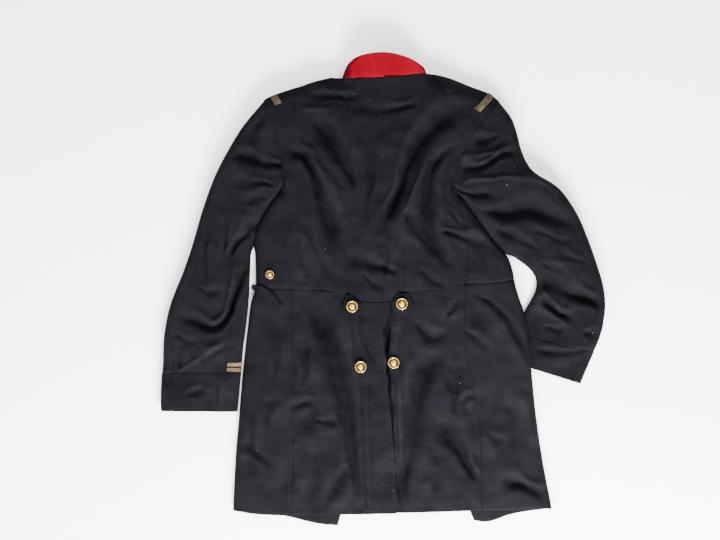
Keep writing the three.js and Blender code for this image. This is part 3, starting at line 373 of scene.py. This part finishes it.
def makeBrass(name, bright, dim):
    material, tree, shader, vector = startMaterial(name, 0.3, 1.0)
    dull = rangeNode(tree, noiseNode(tree, vector, 260.0, 5.0, 0.65), 0.35, 0.7)
    tree.links.new(mixColour(tree, dull, bright, dim), shader.inputs["Base Color"])
    tree.links.new(rangeNode(tree, dull, 0.0, 1.0, 0.22, 0.5), shader.inputs["Roughness"])
    scratch = noiseNode(tree, vector, 1500.0, 2.0)
    bumpInto(tree, shader, scratch, 0.12, 0.0002)
    return material


brass = makeBrass("buttonBrass", (0.8, 0.52, 0.12), (0.44, 0.27, 0.055))
# near-black brass for the button's recess ring: painted shade
recessShadeBrass = makeBrass("recessBrassPaintedShade", (0.1, 0.06, 0.015), (0.05, 0.03, 0.009))
print("materials made")


# creases: how far the cloth is moved up or down at a place in plan
def pathDistance(points, path):
    best = np.full(len(points), 1e9)
    side = np.zeros(len(points))
    share = np.zeros(len(points))
    lengths = [math.dist(a, b) for a, b in zip(path, path[1:])]
    walked = 0.0
    for start, end, length in zip(path, path[1:], lengths):
        way = (np.array(end, float) - start) / length
        off = points - np.array(start, float)
        along = np.clip(off @ way, 0, length)
        away = off - along[:, None] * way
        gap = np.hypot(away[:, 0], away[:, 1])
        near = gap < best
        best[near] = gap[near]
        side[near] = np.sign(way[0] * off[near, 1] - way[1] * off[near, 0])
        share[near] = (walked + along[near]) / sum(lengths)
        walked += length
    return best * side, share


def rounded(path):  # the same path with its bends eased
    for _ in range(2):
        cut = [path[0]]
        for (ax, ay), (bx, by) in zip(path, path[1:]):
            cut += [(0.75 * ax + 0.25 * bx, 0.75 * ay + 0.25 * by), (0.25 * ax + 0.75 * bx, 0.25 * ay + 0.75 * by)]
        path = cut + [path[-1]]
    return path


def easeIn(t):
    t = np.clip(t, 0, 1)
    return t * t * (3 - 2 * t)


def ripple(x, y, length, seed):  # smooth unevenness, about -1 to 1
    total = np.zeros(len(x))
    for k in range(5):
        angle = 2.399 * k + seed
        pitch = length * (0.62 + 0.23 * k)
        wave = 2 * math.pi / pitch
        total += np.sin(wave * (x * math.cos(angle) + y * math.sin(angle)) + 1.7 * seed * (k + 1)
                        + 1.3 * np.sin(wave * 0.6 * (y * math.cos(angle) - x * math.sin(angle))))
    return total / 3


creaseForm = {  # how the tables are read
    "depthShare": {"sleeveLeft": 1.3, "sleeveRight": 1.15, "body": 1.45, "skirt": 1.5},
    "widthShare": {"sleeveLeft": 1.2, "sleeveRight": 1.2, "body": 1.5, "skirt": 1.7},
    "ripples": ((1.5, 118, 2.3), (1.1, 61, 1.0), (0.36, 29, 4.0), (0.1, 13, 2.9)),  # height, length, seed; mm
    "waver": (1.5, 46),  # how far a crease strays from its path, and over what length; mm
    "fadeIn": 0.2, "fadeOut": 0.25,  # shares of its length
    "ridge": 0.36, "ridgeAt": 1.55, "ridgeWidth": 0.85, "troughWidth": 0.72,  # shares of its depth and half width
    "full": 0.009, "none": 0.004,  # cloth lower than this is not moved, m
    "reliefRange": 0.0065,  # a hollow this deep gets the full first step of painted shade, m
}
roundedCreases = {}
for region, rows in creases.items():
    wider = creaseForm["widthShare"].get(region, 1.0)
    roundedCreases[region] = [(depth, half * wider, lean, rounded(path)) for depth, half, lean, path in rows]


def creaseHeight(region, xs, ys, also=()):
    look = creaseForm
    x, y = xs / mm - originX, ys / mm - originY
    points = np.column_stack([x, y])
    lift = sum(height * ripple(x, y, length, seed) for height, length, seed in look["ripples"])
    stray, strayLength = look["waver"]
    rows = roundedCreases[region] + [row for other in also for row in roundedCreases[other]]
    for k, (depth, half, lean, path) in enumerate(rows):
        low, high = np.min(path, axis=0) - 4 * half, np.max(path, axis=0) + 4 * half
        near = np.flatnonzero(np.all((points > low) & (points < high), axis=1))
        if not len(near):
            continue
        gap, share = pathDistance(points[near], path)
        gap = gap + stray * ripple(x[near], y[near], strayLength, 0.7 * k)
        width = half * (0.8 + 0.35 * np.sin(5.1 * share + k))
        fade = easeIn(share / look["fadeIn"]) * easeIn((1 - share) / look["fadeOut"])
        fade *= 0.88 + 0.18 * np.sin(7.3 * share + 2.1 * k)
        form = np.exp(-((gap / (look["troughWidth"] * width)) ** 2))
        if depth < 0:
            for sign in (1, -1):
                off = (gap - sign * look["ridgeAt"] * width) / (look["ridgeWidth"] * width)
                form -= look["ridge"] * (1 + sign * lean) * np.exp(-(off ** 2))
        lift[near] += look["depthShare"].get(region, 1.0) * depth * fade * form
    return lift * mm


# cloth pieces made from the solids
def cleanCopy(node):
    bm = bmesh.new()
    bm.from_mesh(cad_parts[node].data)
    bmesh.ops.remove_doubles(bm, verts=bm.verts, dist=0.00002)
    bmesh.ops.join_triangles(bm, faces=bm.faces, cmp_seam=False, cmp_sharp=False, cmp_uvs=False,
                             cmp_vcols=False, cmp_materials=False, angle_face_threshold=math.radians(50),
                             angle_shape_threshold=math.radians(150))
    return bm


def addPiece(name, bm, materials):
    mesh = bpy.data.meshes.new(name)
    bm.to_mesh(mesh)
    bm.free()
    piece = bpy.data.objects.new(name, mesh)
    bpy.context.scene.collection.objects.link(piece)
    for material in materials:
        mesh.materials.append(material)
    mesh.polygons.foreach_set("use_smooth", [True] * len(mesh.polygons))
    return piece


def bakeModifiers(piece):
    view = bpy.context.evaluated_depsgraph_get()
    baked = bpy.data.meshes.new_from_object(piece.evaluated_get(view))
    old = piece.data
    piece.modifiers.clear()
    piece.data = baked
    baked.name = piece.name
    bpy.data.meshes.remove(old)


def readPoints(mesh):
    points = np.empty(len(mesh.vertices) * 3)
    mesh.vertices.foreach_get("co", points)
    return points.reshape(-1, 3)


def writePoints(mesh, points):
    mesh.vertices.foreach_set("co", points.ravel())
    mesh.update()


clothEdges = {"rimAngle": 62, "cornerAngle": 140, "crease": 0.8, "creaseSmall": 0.6}  # degrees; crease weights


def makeCloth(node, look):
    bm = cleanCopy(node)
    crease = bm.edges.layers.float.new("crease_edge")
    rim = bm.verts.layers.float.new("rim")
    for edge in bm.edges:
        if len(edge.link_faces) == 2 and edge.calc_face_angle(0) > math.radians(clothEdges["rimAngle"]):
            edge[crease] = look["rim"]
            for vert in edge.verts:
                vert[rim] = 1.0
    corner = bm.verts.layers.float.new("crease_vert")
    for vert in bm.verts:
        ways = [(edge.other_vert(vert).co - vert.co).normalized() for edge in vert.link_edges if edge[crease] > 0]
        bent = len(ways) == 2 and ways[0].angle(ways[1], 0) < math.radians(clothEdges["cornerAngle"])
        if len(ways) == 3 or bent:
            vert[corner] = 1.0
    piece = addPiece(node + "_cloth", bm, [look["material"]])
    subdivision = piece.modifiers.new("subdivision", "SUBSURF")
    subdivision.levels = subdivision.render_levels = look["levels"]
    bakeModifiers(piece)
    piece.data.polygons.foreach_set("use_smooth", [True] * len(piece.data.polygons))
    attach(piece, "root")
    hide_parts(node)
    return piece


panels = {  # flat width and length and cut area of each piece, m and m2
    "back_left": {"flat": (0.225, 0.415), "area": 0.0487, "levels": 3},
    "back_right": {"flat": (0.222, 0.42), "area": 0.0411, "levels": 3},
    "side_left": {"flat": (0.135, 0.295), "area": 0.0268, "levels": 3},
    "side_right": {"flat": (0.12, 0.29), "area": 0.0249, "levels": 3},
    "front_left": {"flat": (0.3, 0.4), "area": 0.0949, "levels": 2},
    "front_right": {"flat": (0.29, 0.4), "area": 0.0859, "levels": 2},
    "skirt_back_left": {"flat": (0.2, 0.42), "area": 0.075, "levels": 3},
    "skirt_back_right": {"flat": (0.21, 0.426), "area": 0.0729, "levels": 3},
    "skirt_front_left": {"flat": (0.38, 0.44), "area": 0.1437, "levels": 2},
    "skirt_front_right": {"flat": (0.38, 0.45), "area": 0.138, "levels": 2},
    "sleeve_left_under": {"flat": (0.175, 0.52), "area": 0.0609, "levels": 3},
    "sleeve_left_top": {"flat": (0.2, 0.52), "area": 0.0674, "levels": 2},
    "sleeve_right_under": {"flat": (0.175, 0.52), "area": 0.0636, "levels": 3},
    "sleeve_right_top": {"flat": (0.2, 0.52), "area": 0.0706, "levels": 2},
    "cuff_left": {"flat": (0.31, 0.08), "area": 0.0225, "levels": 3},
    "cuff_right": {"flat": (0.3, 0.08), "area": 0.0187, "levels": 3},
    "collar": {"flat": (0.36, 0.045), "area": 0.0141, "levels": 3},
    "collar_inside": {"flat": (0.35, 0.045), "area": 0.0136, "levels": 2},
    "vent_flap_left": {"flat": (0.045, 0.41), "area": 0.0085, "levels": 3},
    "vent_flap_right": {"flat": (0.045, 0.41), "area": 0.0083, "levels": 3},
    "belt_tab": {"flat": (0.03, 0.09), "area": 0.00126, "levels": 3},
    "shoulder_loop_left": {"flat": (0.016, 0.02), "area": 0.00027, "levels": 3},
    "shoulder_loop_right": {"flat": (0.016, 0.036), "area": 0.0005, "levels": 3},
    "shoulder_patch_left": {"flat": (0.012, 0.036), "area": 0.00028, "levels": 3},
    "shoulder_patch_right": {"flat": (0.034, 0.04), "area": 0.00122, "levels": 3},
    "braid_left_1": {"flat": (0.125, 0.0101), "area": 0.00106, "levels": 3},
    "braid_left_2": {"flat": (0.125, 0.0101), "area": 0.00109, "levels": 3},
    "braid_right_1": {"flat": (0.15, 0.0111), "area": 0.00147, "levels": 3},
    "braid_right_2": {"flat": (0.15, 0.0111), "area": 0.00144, "levels": 3},
}
onTop = {"body": ("back_", "side_", "shoulder_", "belt_"), "skirt": ("skirt_back", "vent_flap"),
         "sleeveLeft": ("sleeve_left_under", "cuff_left", "braid_left"),
         "sleeveRight": ("sleeve_right_under", "cuff_right", "braid_right")}
cloths, regions = {}, {}
for node, panel in panels.items():
    region = next((name for name, starts in onTop.items() if node.startswith(starts)), None)
    if node.startswith("sleeve") and node.endswith("top"):
        region = "sleeveLeft" if "left" in node else "sleeveRight"
    if node.startswith(("front", "skirt_front")):
        region = "body" if node.startswith("front") else "skirt"
    material, slot = blackWool, "black_cloth"
    if node == "collar":
        material, slot = redWool, "red_cloth"
    if node.startswith(("shoulder_loop", "braid")):
        material, slot = goldLace if node.startswith("braid") else tarnishedLace, "gold_lace"
    small = node.startswith(("vent", "belt", "shoulder", "braid"))
    rim = clothEdges["creaseSmall" if small else "crease"]
    cloths[node] = makeCloth(node, {**panel, "material": material, "slot": slot, "rim": rim})
    regions[node] = region
print("cloth pieces made")


def treeOf(points):
    tree = KDTree(len(points))
    for k, point in enumerate(points):
        tree.insert(point, k)
    tree.balance()
    return tree


# sleeves brought up against the body from the underarm down to where they part: path in mm between the two
closures = {
    "left": [(-188, 189), (-194.5, 177.5), (-204.5, 165), (-218, 146.5), (-231, 122), (-239.2, 96), (-242.5, 64)],
    "right": [(128, 190), (136, 179), (146, 169), (157, 153.5), (167.5, 138), (182.5, 116), (203, 90.5),
              (225.5, 66.5), (243, 52)],
}


def closeGap(side, spread=0.022, touch=-0.0007):
    path = metres(closures[side])
    shares = np.linspace(0, 1, 40)
    lengths = np.cumsum([0] + [math.dist(a, b) for a, b in zip(path, path[1:])])
    lengths /= lengths[-1]
    feet = np.column_stack([np.interp(shares, lengths, [p[k] for p in path]) for k in (0, 1)])
    body = [f"side_{side}", f"front_{side}", f"back_{side}"]
    sleeve = [f"sleeve_{side}_under", f"sleeve_{side}_top"]
    for names in (body, sleeve):
        flats = np.vstack([held[name][:, :2] for name in names])
        near = flats[np.hypot(*(flats - feet.mean(axis=0)).T) < 0.16]
        tree = treeOf(np.column_stack([near, np.zeros(len(near))]))
        need = np.array([max(0, tree.find((x, y, 0))[2] - touch) for x, y in feet])
        need *= easeIn((1 - shares) / 0.14)
        for name in names:
            points = held[name]
            gap, share = pathDistance(points[:, :2], path)
            foot = np.column_stack([np.interp(share, lengths, [p[k] for p in path]) for k in (0, 1)])
            size = np.maximum(np.abs(gap), 1e-6)
            pull = np.interp(share, shares, need) * (1 - np.clip((size - 0.002) / spread, 0, 1)) ** 1.6
            points[:, :2] += (foot - points[:, :2]) / size[:, None] * np.minimum(pull, size)[:, None]


# sewing: neighbouring edges are drawn together and the cloth beside them dips into the seam
sewn = {}
for side in ("left", "right"):
    body = [f"back_{side}", f"side_{side}", f"front_{side}"]
    skirt = [f"skirt_back_{side}", f"skirt_front_{side}"]
    sleeves = [f"sleeve_{side}_under", f"sleeve_{side}_top"]
    for names in (body, skirt, sleeves):
        for name in names:
            sewn.setdefault(name, set()).update(set(names) - {name})
    sewn[f"cuff_{side}"] = set(sleeves)
    for name in sleeves:
        sewn[name].add(f"cuff_{side}")
    for name in body:
        sewn[name].update(skirt + sleeves)
    for name in skirt + sleeves:
        sewn[name].update(body)
sewn["back_left"].update({"back_right", "skirt_back_right", "collar"})
sewn["back_right"].update({"back_left", "skirt_back_left", "collar"})
sewn["collar"] = {"back_left", "back_right"}


seamLook = {"reach": 0.0034, "spread": 0.011, "dip": 0.0002, "dipWidth": 0.003, "gap": 0.00008, "rimWeight": 0.97}


def sewSeams(look):
    rims = {}
    for name in sewn:
        marks = np.empty(len(held[name]))
        cloths[name].data.attributes["rim"].data.foreach_get("value", marks)
        rims[name] = np.flatnonzero(marks > look["rimWeight"])
    rimTrees = {name: treeOf(held[name][rims[name]]) for name in sewn}
    moved = {}
    for name, others in sewn.items():
        points = held[name]
        joins, shifts = [], []
        for index in rims[name]:
            place = Vector(points[index])
            found = [rimTrees[other].find(place) for other in sorted(others)]
            other, _, distance = min(found, key=lambda hit: hit[2])
            if distance < look["reach"]:
                joins.append(index)
                closed = 1 - look["gap"] / max(distance, look["gap"])
                shifts.append((np.array(other) - points[index]) * 0.5 * closed)
        joinTree = treeOf(points[joins])
        new = points.copy()
        for k, point in enumerate(points):
            _, at, distance = joinTree.find(point)
            if distance < look["spread"]:
                new[k] += shifts[at] * (1 - distance / look["spread"]) ** 2
                above = min(1, max(0, (point[2] - 0.006) / 0.006))  # nothing dips near the floor
                new[k, 2] -= look["dip"] * math.exp(-((distance / look["dipWidth"]) ** 2)) * above
        moved[name] = new
    held.update(moved)


held = {node: readPoints(piece.data) for node, piece in cloths.items()}
for side in closures:
    closeGap(side)
sewSeams(seamLook)
for node, points in held.items():
    if regions[node]:
        lifted = easeIn((points[:, 2] - creaseForm["none"]) / creaseForm["full"])
        also = ("ventGap",) if node == "skirt_back_right" else ()
        lift = creaseHeight(regions[node], points[:, 0], points[:, 1], also) * lifted
        points[:, 2] += lift
        # the crease relief is kept on the cloth for the painted shade and highlight of the wool
        relief = cloths[node].data.attributes.new("relief", "FLOAT", "POINT")
        relief.data.foreach_set("value", np.clip(lift / creaseForm["reliefRange"], -2.2, 1))
    writePoints(cloths[node].data, points)
    cloths[node].data.attributes.remove(cloths[node].data.attributes["rim"])
print("seams sewn and creases laid")


collarTop = {"steep": 0.6, "beyond": 0.405, "above": 0.012}  # its top edge shows the black of the inside; m
collarMesh = cloths["collar"].data
collarMesh.materials.append(blackWool)
for polygon in collarMesh.polygons:
    atTop = polygon.center.y > collarTop["beyond"] and polygon.center.z > collarTop["above"]
    polygon.material_index = int(atTop and abs(polygon.normal.z) < collarTop["steep"])


# surfaces that trim and stitches lie on
surfaces = {}


def surfaceTree(names):
    key = tuple(names)
    if key not in surfaces:
        verts, faces = [], []
        for name in names:
            mesh = cloths[name].data
            start = len(verts)
            verts += [v.co.copy() for v in mesh.vertices]
            faces += [tuple(start + i for i in poly.vertices) for poly in mesh.polygons]
        surfaces[key] = BVHTree.FromPolygons(verts, faces)
    return surfaces[key]


def restOn(names, x, y):  # the highest cloth at a place in plan
    hit, normal, _, _ = surfaceTree(names).ray_cast(Vector((x, y, 0.2)), Vector((0, 0, -1)))
    return (hit, normal) if hit is not None else (None, None)


def layOn(node, names, clear, thick):  # a strap that follows what it lies on
    mesh = cloths[node].data
    points = readPoints(mesh)
    for vert, point in zip(mesh.vertices, points):
        hit, _ = restOn(names, point[0], point[1])
        if hit is not None:
            point[2] = hit.z + clear + thick * (0.5 + 0.5 * max(-1, min(1, vert.normal.z * 1.4)))
    writePoints(mesh, points)


beltTab = {"names": ["skirt_front_left", "side_left", "front_left"], "clear": 0.0008, "thick": 0.0026}
layOn("belt_tab", **beltTab)


# buttons: struck shell with a rolled rim, a recess painted dark as shade, and a low dome
buttonLook = {
    "profile": [(0.0, -0.3), (0.22, -0.3), (0.22, 0.0), (0.9, 0.03), (0.985, 0.12), (1.0, 0.3), (0.99, 0.48),
                (0.955, 0.6), (0.9, 0.66), (0.86, 0.63), (0.83, 0.52), (0.78, 0.43), (0.7, 0.4), (0.6, 0.42),
                (0.54, 0.5), (0.5, 0.63), (0.43, 0.77), (0.32, 0.89), (0.17, 0.97), (0.0, 1.0)],
    "steps": 48,
    "recess": (0.5, 0.84), "recessAbove": 0.3,  # where the recess's painted shade lies: shares of the radius and of the height
    "upright": 3,  # how much less it leans than the cloth under it
    "clear": 0.0001,
}


def seatButton(middle, radius, on, look):  # how high it sits on the cloth, and which way it leans
    hit, normal = restOn(on, middle.x, middle.y)
    if hit is None:
        return None, Vector((0, 0, 1))
    heights = [hit.z]
    for k in range(8):
        angle = k * math.pi / 4
        foot, _ = restOn(on, middle.x + radius * math.cos(angle), middle.y + radius * math.sin(angle))
        if foot is not None:
            heights.append(foot.z)
    return max(heights) + look["clear"], (Vector((0, 0, 1)) * look["upright"] + normal).normalized()


def makeButton(node, on, look):  # with nothing to sit on it faces down
    low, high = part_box(node)
    middle = (Vector(low) + Vector(high)) / 2
    radius, height = (high[0] - low[0]) / 2, high[2] - low[2]
    bm = bmesh.new()
    verts = [bm.verts.new((r * radius, 0, h * height)) for r, h in look["profile"]]
    edges = [bm.edges.new(pair) for pair in zip(verts, verts[1:])]
    bmesh.ops.spin(bm, geom=verts + edges, cent=(0, 0, 0), axis=(0, 0, 1), angle=2 * math.pi,
                   steps=look["steps"], use_merge=True)
    bmesh.ops.remove_doubles(bm, verts=bm.verts, dist=0.000001)
    bmesh.ops.recalc_face_normals(bm, faces=bm.faces)
    # faces in the recess ring get the brass with painted shade
    inner, outer = look["recess"]
    for face in bm.faces:
        centre = face.calc_center_median()
        inRecess = inner < math.hypot(*centre.xy) / radius < outer and centre.z > height * look["recessAbove"]
        face.material_index = int(inRecess)
    if on:
        seat, lean = seatButton(middle, radius, on, look)
        turnTo = lean.to_track_quat("Z", "Y").to_matrix().to_4x4()
        place = Matrix.Translation((middle.x, middle.y, low[2] if seat is None else seat)) @ turnTo
    else:
        place = Matrix.Translation((middle.x, middle.y, low[2] + height)) @ Matrix.Diagonal((1, 1, -1, 1))
    bmesh.ops.transform(bm, matrix=place, verts=bm.verts)
    if not on:
        bmesh.ops.reverse_faces(bm, faces=bm.faces)
    piece = addPiece(node + "_brass", bm, [brass, recessShadeBrass])
    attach(piece, "root")
    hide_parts(node)


buttonsOn = {  # which cloth each kind sits on
    "front_button": [],
    "belt_tab_button": ["side_left", "front_left"],
    "back_button_left": ["vent_flap_left", "skirt_back_left", "skirt_back_right"],
    "back_button_right": ["vent_flap_right", "skirt_back_left", "skirt_back_right"],
}
for node in sorted(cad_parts):
    for kind, on in buttonsOn.items():
        if node.startswith(kind):
            makeButton(node, on, buttonLook)
print("buttons made")


# stitches: short raised threads that follow the cloth under them; their dark thread also paints the shadow along the
# flap edges
def makeStitches(name, rows, on, look):
    bm = bmesh.new()
    for row in rows:
        path = metres(rounded(row))
        travelled, want = 0.0, look["pitch"] / 2
        for (ax, ay), (bx, by) in zip(path, path[1:]):
            length = math.dist((ax, ay), (bx, by))
            while want <= travelled + length and length > 0:
                t = (want - travelled) / length
                x, y = ax + t * (bx - ax), ay + t * (by - ay)
                way = Vector(((bx - ax) / length, (by - ay) / length, 0))
                hit, normal = restOn(on, x, y)
                if hit is not None:
                    addStitch(bm, hit, normal, way, look)
                want += look["pitch"]
            travelled += length
    piece = addPiece(name, bm, [look["material"]])
    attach(piece, "root")


def addStitch(bm, hit, normal, way, look):
    along = (way - normal * way.dot(normal)).normalized()
    across = normal.cross(along)
    turnTo = Matrix((across, normal, along)).transposed().to_4x4()
    stretch = Matrix.Diagonal((look["radius"], look["radius"], look["length"] / 2, 1))
    middle = Matrix.Translation(hit + normal * (look["radius"] * look["rise"]))
    bmesh.ops.create_uvsphere(bm, u_segments=6, v_segments=6, radius=1,
                              matrix=middle @ turnTo @ stretch)


fineStitch = {"pitch": 0.0042, "length": 0.0035, "radius": 0.00038, "rise": 0.4,
              "material": threadAndEdgeShade, "slot": "black_cloth"}
flapEdges = {
    "left": {
        "outer": [(-40, -23), (-51, -15), (-61, -8), (-66, -9), (-73, -18), (-78, -29), (-73, -36), (-66, -46),
                  (-58, -66), (-54, -93), (-52, -112), (-51, -127), (-50, -142), (-48, -150), (-42, -165),
                  (-39, -180), (-37, -220), (-35, -278), (-32, -345), (-29, -408)],
        "inner": [(-43, -30), (-44, -43), (-45, -66), (-43, -93), (-36, -112), (-27, -127), (-19, -139), (-22, -149),
                  (-27, -163), (-28, -179), (-27.5, -220), (-25.5, -278), (-23, -345), (-20, -408)],
    },
    "right": {
        "outer": [(17, -23), (26, -14), (34, -6), (39, -6), (48, -14), (55, -24), (51, -31), (45, -40), (36.5, -56),
                  (32, -84), (28.5, -112), (28, -125), (28, -136), (30, -150), (33, -164), (34, -179), (35, -220),
                  (37, -278), (40, -345), (43, -404)],
        "inner": [(19, -25), (18.5, -38), (18.5, -56), (17.5, -84), (14, -112), (11, -125), (11, -137), (13, -149),
                  (18, -164), (23, -179), (25, -220), (28, -278), (32, -345), (35, -404)],
    },
}
stitching = {  # the rows of each piece and the cloth that they lie on
    "vent_flap_left_stitches": {
        "rows": list(flapEdges["left"].values()), "on": ["vent_flap_left", "skirt_back_left"], "look": fineStitch},
    "vent_flap_right_stitches": {
        "rows": list(flapEdges["right"].values()), "on": ["vent_flap_right", "skirt_back_right"], "look": fineStitch},
    "belt_tab_stitches": {
        "rows": [[(-216, 0), (-208, -4), (-199, -17), (-190, -30), (-197, -37), (-205, -43), (-212, -35), (-221, -22),
                  (-230, -9)]],
        "on": ["belt_tab"], "look": fineStitch},
    "waist_stitches": {
        "rows": [[(-40, -23), (-20, -24.5), (0, -24), (17, -23)]],
        "on": ["back_left", "back_right", "skirt_back_left", "skirt_back_right"], "look": fineStitch},
    "vent_stay_stitch": {
        "rows": [[(-14, -356), (-10, -365), (-3, -368), (8, -368), (19, -366), (24, -363)]],
        "on": ["skirt_back_left", "skirt_back_right", "vent_flap_left"], "look": {**fineStitch, "radius": 0.0005}},
}
for name, stitches in stitching.items():
    makeStitches(name, **stitches)
print("stitches made")


# floor, lights and camera
def makeFloor(look):
    bm = bmesh.new()
    bmesh.ops.create_grid(bm, x_segments=8, y_segments=8, size=look["size"])
    bmesh.ops.translate(bm, verts=bm.verts, vec=(0, 0, -look["below"]))
    material, tree, shader, vector = startMaterial("paleFloor", 0.75, 0.0, {"Specular IOR Level": 0.2})
    tone = rangeNode(tree, noiseNode(tree, vector, 2.0, 2.0), 0.3, 0.7)
    tree.links.new(mixColour(tree, tone, *look["colours"]), shader.inputs["Base Color"])
    addPiece("floor", bm, [material])


def addLight(name, look):
    light = bpy.data.lights.new(name, "AREA")
    light.shape = "RECTANGLE"
    light.size, light.size_y = look["size"]
    light.energy = look["power"]
    lamp = bpy.data.objects.new(name, light)
    bpy.context.scene.collection.objects.link(lamp)
    lamp.location = look["place"]
    lamp.rotation_mode = "QUATERNION"
    lamp.rotation_quaternion = (Vector(look["aim"]) - Vector(look["place"])).to_track_quat("-Z", "Y")


floorLook = {"size": 6, "below": 0.0004, "colours": ((0.95, 0.95, 0.95), (0.97, 0.97, 0.965))}
lights = {
    "keyLight": {"place": (0.3, -1.75, 1.0), "aim": (0, -0.1, 0), "size": (1.3, 0.6), "power": 400},
    "sideLight": {"place": (-2.3, -0.9, 1.5), "aim": (0, 0, 0), "size": (1.2, 1.0), "power": 90},
    "topLight": {"place": (0.9, 1.0, 3.0), "aim": (0.1, 0.1, 0), "size": (2.6, 2.0), "power": 150},
}
studio = {"colour": (0.95, 0.97, 1.0), "strength": 1.15}
cameraLook = {"over": (-0.04352, 0.0382), "width": 1.332, "height": 0.018, "lens": 50, "sensor": 36}

makeFloor(floorLook)
for name, look in lights.items():
    addLight(name, look)
world = bpy.data.worlds.new("studio")
world.use_nodes = True
background = world.node_tree.nodes["Background"]
background.inputs["Color"].default_value = (*studio["colour"], 1.0)
background.inputs["Strength"].default_value = studio["strength"]
bpy.context.scene.world = world

camera = bpy.data.cameras.new("camera")
camera.lens, camera.sensor_width = cameraLook["lens"], cameraLook["sensor"]
cameraObject = bpy.data.objects.new("camera", camera)
bpy.context.scene.collection.objects.link(cameraObject)
above = cameraLook["height"] + cameraLook["width"] * camera.lens / camera.sensor_width  # it sees that width there
cameraObject.location = (*cameraLook["over"], above)
bpy.context.scene.camera = cameraObject
print("stage made")
